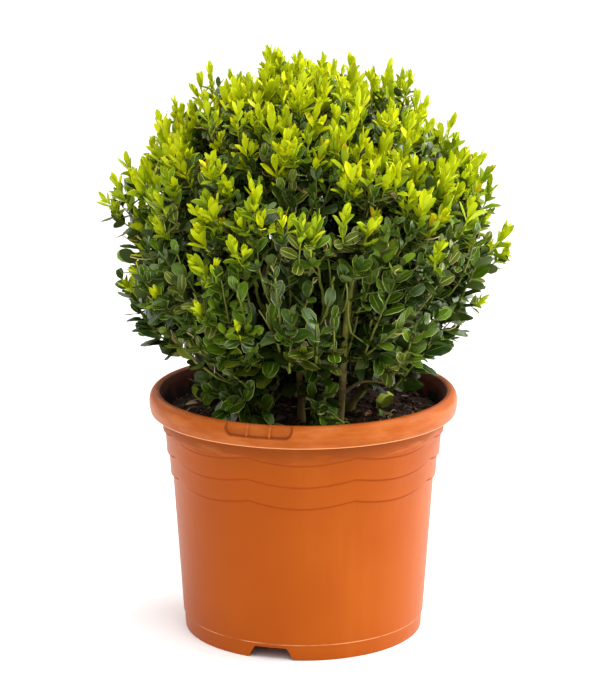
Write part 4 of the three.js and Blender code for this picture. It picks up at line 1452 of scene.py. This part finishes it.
class LeafMake:
    """The points and faces of one make of leaf."""

    def __init__(self, make):
        rows, columns, strips = LEAF_MAKES[make]
        n, m = len(rows), len(columns)
        last_row = (n - 1) * m
        mid = n * m
        grid = [(run, across, half, 0.0) for run, half in rows for across in columns]
        belly = [(run, 0.0, half, 1.0) for run, half in rows[1:-1]]
        self.along, self.across, self.half, self.below = np.array(grid + belly).T
        corners = [(i * m + j, j) for i in range(n - 1) for j in range(m - 1)]
        top = [(a, a + m, a + m + 1, a + 1) for a, _ in corners]
        under = []
        for i in range(1, n - 2):
            left, right, here = i * m, i * m + m - 1, mid + i - 1
            under += [(left, here, here + 1, left + m), (here, right, right + m, here + 1)]
        before = last_row - m
        first = [0, *range(1, m), m + m - 1, mid, m]
        last = [before, mid + n - 3, before + m - 1, *range(last_row + m - 1, last_row - 1, -1)]
        self.groups = [(np.array(top), np.array([strips[j] for _, j in corners]))]
        for faces in (under, [first], [last]):
            if faces:
                self.groups.append((np.array(faces), np.full(len(faces), UNDER)))
        # the edge is sharp all round, and the fold of a new leaf too
        ring = [*range(m), *[i * m + m - 1 for i in range(1, n)],
                *range(last_row + m - 2, last_row - 1, -1), *[i * m for i in range(n - 2, 0, -1)]]
        sharp = list(zip(ring, ring[1:] + ring[:1]))
        if make == "shoot":
            sharp += [(i * m + m // 2, (i + 1) * m + m // 2) for i in range(n - 1)]
        self.sharp = np.zeros((len(self.along), len(self.along)), bool)
        for a, b in sharp:
            self.sharp[a, b] = self.sharp[b, a] = True

    def points(self, rows):
        """Every leaf's points, from its base, directions and sizes."""
        base, way, up = rows[:, 0:3], rows[:, 3:6], rows[:, 6:9]
        length, width, droop, fold, curl = (rows[:, i:i + 1] for i in range(9, 14))
        side = np.cross(way, up)
        droop = np.where(np.abs(droop) < 0.02, 0.02, droop)
        angle = droop * self.along[None]
        ahead = np.sin(angle) / droop * length
        down = (1 - np.cos(angle)) / droop * length
        half = width / 2 * self.half[None]
        away = np.abs(self.across)[None]
        lift = half * away * fold - half * 0.22 * away ** 2
        lift = lift + width * 0.05 * np.sin(self.along[None] * 6.3 + curl * 9) * away
        lift = lift - self.below[None] * LEAF_THICKNESS
        out = self.across[None] * half + curl * 0.12 * length * self.along[None] ** 2
        cosine, sine = np.cos(angle)[..., None], np.sin(angle)[..., None]
        normal = up[:, None] * cosine + way[:, None] * sine
        centre = base[:, None] + way[:, None] * ahead[..., None] - up[:, None] * down[..., None]
        return centre + side[:, None] * out[..., None] + normal * lift[..., None]


def build_leaves(name, make, rows, finishes, slot_numbers):
    """Joins leaves of one make. slot_numbers gives each shade's slots for blade, edge, underside and rib."""
    pattern = LeafMake(make)
    points = pattern.points(rows)
    count, size = points.shape[:2]
    shades = slot_numbers[rows[:, 14].astype(int)]
    offsets = np.arange(count)[:, None, None] * size
    groups = [(faces[None] + offsets).reshape(-1, faces.shape[1]) for faces, _ in pattern.groups]
    slots = [shades[:, strips].reshape(-1) for _, strips in pattern.groups]
    piece = build_object(name, points.reshape(-1, 3), groups, finishes, slots)
    edges = np.zeros(len(piece.data.edges) * 2, np.int32)
    piece.data.edges.foreach_get("vertices", edges)
    edges = edges.reshape(-1, 2) % size
    attribute = piece.data.attributes.new("sharp_edge", "BOOLEAN", "EDGE")
    attribute.data.foreach_set("value", pattern.sharp[edges[:, 0], edges[:, 1]])
    return piece


MATURE_EDGES = [
    plain_finish("dark_leaf_edge", (100, 118, 44), 0.45, **LEAF_SHEEN),
    plain_finish("green_leaf_edge", (154, 168, 76), 0.45, **LEAF_SHEEN),
    plain_finish("pale_leaf_edge", (208, 210, 142), 0.5, **LEAF_SHEEN),
    plain_finish("clipped_tan_edge", (194, 166, 108), 0.6),
]
MATURE_UNDERSIDES = [
    plain_finish("grey_green_underside", (74, 88, 36), 0.6, **LEAF_SHEEN),
    plain_finish("dull_green_underside", (58, 74, 20), 0.6, **LEAF_SHEEN),
]
EDGE_OF_SHADE = (0, 0, 1, 1, 2, 1, 2, 3, 1, 1, 2, 1, 3, 3, 0, 0, 0, 0)
mature, mature_numbers = [], []
first_edge = len(MATURE_SHADES)
first_under = first_edge + len(MATURE_EDGES)
for number, (shade, edge) in enumerate(zip(MATURE_SHADES, EDGE_OF_SHADE)):
    sheen = GREY_SHEEN if number in GREY_SHEEN_SHADES else LEAF_SHEEN
    mature.append(plain_finish(f"box_leaf_{number:02d}", shade, 0.24 + 0.03 * (number % 4), **sheen))
    under, rib = first_under + number % 2, first_edge + max(0, edge - 1)
    mature_numbers.append((number, first_edge + edge, under, rib))
mature += MATURE_EDGES + MATURE_UNDERSIDES

new, new_numbers = [], []
first_edge = len(NEW_SHADES)
for number, shade in enumerate(NEW_SHADES):
    new.append(plain_finish(f"new_leaf_{number}", shade, 0.42, **NEW_SHEEN))
    new_numbers.append((number, first_edge + (number > 2), first_edge + 2 + (number > 3)))
new += [
    plain_finish("new_leaf_yellow_edge", (224, 222, 30), 0.45, **NEW_SHEEN),
    plain_finish("new_leaf_green_edge", (190, 204, 30), 0.45, **NEW_SHEEN),
    plain_finish("new_leaf_underside", (190, 204, 20), 0.5, **NEW_SHEEN),
    plain_finish("new_leaf_green_underside", (150, 172, 26), 0.5, **NEW_SHEEN),
]


def by_side(rows, parts):
    """Splits leaves into so many sectors round the plant."""
    turn = (np.degrees(np.arctan2(rows[:, 0], -rows[:, 1])) + 180.0) / 360.0
    return [rows[np.floor(turn * parts) == part] for part in range(parts)]


PLANS = [
    ("summer_leaves", "fine", kinds, 4, "leaves"), ("back_leaves", "plain", kinds, 2, "leaves"),
    ("old_leaves", "inner", kinds, 1, "leaves"), ("new_shoots", "shoot", kinds, 2, "leaves"),
    ("low_summer_leaves", "fine", low_kinds, 1, "low_leaves"),
    ("low_back_leaves", "plain", low_kinds, 1, "low_leaves"),
]
for name, make, store, parts, slot in PLANS:
    is_new = make == "shoot"
    finishes, numbers = (new, new_numbers) if is_new else (mature, mature_numbers)
    rows = opened(store[make])
    if not is_new:
        rows = rows[[under_the_top(row) for row in rows]]
    for part, group in enumerate(by_side(rows, parts)):
        piece = build_leaves(f"{name}_{part + 1}", make, group, finishes, np.array(numbers))
        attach(piece, "root")
        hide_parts(*(["crown_ball"] if slot == "leaves" else low_names))

# ---------------------------------------------------------------- litter
# Fallen leaves and thin root fibres lie on the compost: a curled yellow-green leaf, a few more
# green ones, and many dry tan and brown ones that have been pressed flat by watering.
LITTER_COUNT = 46
FIBRE_COUNT = 34
FIBRE_REACH = 0.1055
FALLEN_SHADES = [(212, 226, 78), (92, 120, 34), (160, 132, 86), (118, 90, 58), (76, 54, 36)]
FALLEN_BACKS = [("green", (140, 156, 60), 0.65), ("brown", (104, 80, 54), 0.75)]
# place on the compost in metres and lift in millimetres, direction, upper side, and the leaf's sizes
LAID_LEAVES = [
    ((0.0580, 0.0080, 2.0), (0.55, 0.0, 0.83), (-0.60, -0.70, 0.38), (0.0165, 0.0100, 1.3, 1.3, 0.9)),
    ((0.0605, 0.0085, 2.4), (0.93, -0.1, 0.35), (-0.2, -0.75, 0.63), (0.0150, 0.0085, -0.9, 0.9, -0.8)),
    ((-0.0780, 0.0180, 3.0), (-0.80, 0.1, 0.59), (0.3, -0.75, 0.59), (0.0150, 0.0075, -0.5, 0.6, 0.8)),
]
litter_draw = random.Random(31)


def on_compost(x, y, lift):
    """A place just above the compost, from metres across and back and a lift in millimetres."""
    return Vector((x, y, (float(soil_height(x / MM, y / MM)) + lift) * MM))


def litter_place(reach, least_share):
    """Somewhere on the compost, by metres to the right and to the back."""
    distance = reach * math.sqrt(litter_draw.uniform(least_share, 1.0))
    turn = litter_draw.uniform(0, 2 * math.pi)
    return distance * math.sin(turn), -distance * math.cos(turn)


fallen = []
for place, way, up, measures in LAID_LEAVES:
    fallen.append((*on_compost(*place), *Vector(way).normalized(), *Vector(up).normalized(), *measures, 0))
for _ in range(LITTER_COUNT):
    x, y = litter_place(0.104, 0.08)
    spot = on_compost(x, y, litter_draw.uniform(1.6, 3.0))
    heading = litter_draw.uniform(0, 2 * math.pi)
    along = Vector((math.cos(heading), math.sin(heading), litter_draw.uniform(-0.05, 0.3))).normalized()
    tilted = Vector((litter_draw.gauss(0, 0.35), litter_draw.gauss(0, 0.35), 1.0))
    size = litter_draw.uniform(0.008, 0.016)
    fallen.append((
        *spot, *along, *square_to(tilted, along), size, size * litter_draw.uniform(0.4, 0.58),
        litter_draw.uniform(-0.5, 0.9), litter_draw.uniform(0.1, 0.8), litter_draw.uniform(-0.8, 0.8),
        litter_draw.choices(range(5), (0.2, 3, 3, 4, 5))[0],
    ))
finishes = [plain_finish(f"fallen_leaf_{i}", shade, 0.6) for i, shade in enumerate(FALLEN_SHADES)]
finishes += [plain_finish(f"fallen_leaf_{name}_back", shade, rough) for name, shade, rough in FALLEN_BACKS]
numbers = [(i, i, len(FALLEN_SHADES) + (i > 1), i) for i in range(len(FALLEN_SHADES))]
fallen_leaves = build_leaves("fallen_leaves", "fine", np.array(fallen), finishes, np.array(numbers))
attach(fallen_leaves, "root")

fibres = Tubes()
for _ in range(FIBRE_COUNT):
    centre = Vector((*litter_place(0.103, 0.15), 0.0))
    heading = litter_draw.uniform(0, 2 * math.pi)
    half_length = litter_draw.uniform(0.004, 0.012)
    run = Vector((math.cos(heading), math.sin(heading), 0.0)) * half_length
    bow = Vector((-run.y, run.x, 0.0)) * litter_draw.uniform(-0.8, 0.8)
    line = []
    for step in range(7):
        t = step / 3 - 1
        place = centre + run * t + bow * (1 - t * t)
        if place.xy.length > FIBRE_REACH:
            place = place * (FIBRE_REACH / place.xy.length)
        line.append(on_compost(place.x, place.y, 2.2 + 1.2 * (1 - t * t)))
    radii = np.full(7, litter_draw.uniform(0.00018, 0.00034))
    fibres.add(np.array(line), radii, 4, litter_draw.randrange(2))
fibre_piece = fibres.build("compost_fibres", [
    plain_finish("pale_root_fibre", (188, 168, 122), 0.75),
    plain_finish("brown_root_fibre", (112, 82, 54), 0.8),
])
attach(fibre_piece, "root")

# ---------------------------------------------------------------- setting
# A plain pale floor, a pale sky that is brightest overhead, three softboxes, and the camera in
# front of the plant, looking a little down.
FLOOR_HALF = 6.0
SKY_HORIZON, SKY_ZENITH = 0.36, 1.68
SOFTBOXES = [
    ("overhead_softbox", (0.45, -0.85, 1.75), 0.28, 0.8, 12.0),
    ("rear_softbox", (1.15, 0.85, 1.55), 0.28, 0.8, 12.0),
    ("right_softbox", (1.55, 0.15, 0.75), 0.22, 0.9, 20.0),
]
CAMERA_PLACE = (-0.0026, -2.0, 0.709)
CAMERA_DOWN = 13.54
CAMERA_LENS, CAMERA_SENSOR = 140.05, 36.0

pale = Finish("pale_floor")
floor_color = pale.mixed(pale.noise(3.0, 2.0, 0.5), (0.93, 0.93, 0.93, 1.0), (0.95, 0.95, 0.95, 1.0))
floor_corners = [(x * FLOOR_HALF, y * FLOOR_HALF, 0) for x, y in ((-1, -1), (1, -1), (1, 1), (-1, 1))]
floor_finish = pale.surface(floor_color, 0.7)
floor = build_object("studio_floor", floor_corners, [np.array([[0, 1, 2, 3]])], [floor_finish])

world = bpy.data.worlds.new("studio")
bpy.context.scene.world = world
world.use_nodes = True
sky = Shader(world.node_tree)
overhead = sky.value("ShaderNodeTexCoord", None, None, "Generated").parts()[2]
strength = sky.value("ShaderNodeMapRange", {"interpolation_type": "SMOOTHSTEP"}, {
    "Value": overhead, "From Min": 0.0, "From Max": 0.95, "To Min": SKY_HORIZON, "To Max": SKY_ZENITH,
}, "Result")
white = (1.0, 1.0, 1.0, 1.0)
sky.end("ShaderNodeBackground", {"Color": white, "Strength": strength}, "ShaderNodeOutputWorld")

for name, place, aim_height, size, power in SOFTBOXES:
    data = bpy.data.lights.new(name, "AREA")
    data.shape = "SQUARE"
    data.size = size
    data.energy = power
    light = new_object(name, data)
    light.location = place
    aim = Vector((0.0, 0.0, aim_height)) - Vector(place)
    light.rotation_euler = aim.to_track_quat("-Z", "Y").to_euler()

camera_data = bpy.data.cameras.new("camera")
camera_data.lens = CAMERA_LENS
camera_data.sensor_width = CAMERA_SENSOR
camera = new_object("camera", camera_data)
camera.location = CAMERA_PLACE
camera.rotation_euler = (math.radians(90 - CAMERA_DOWN), 0.0, 0.0)
bpy.context.scene.camera = camera
bpy.context.scene.view_settings.view_transform = "Standard"
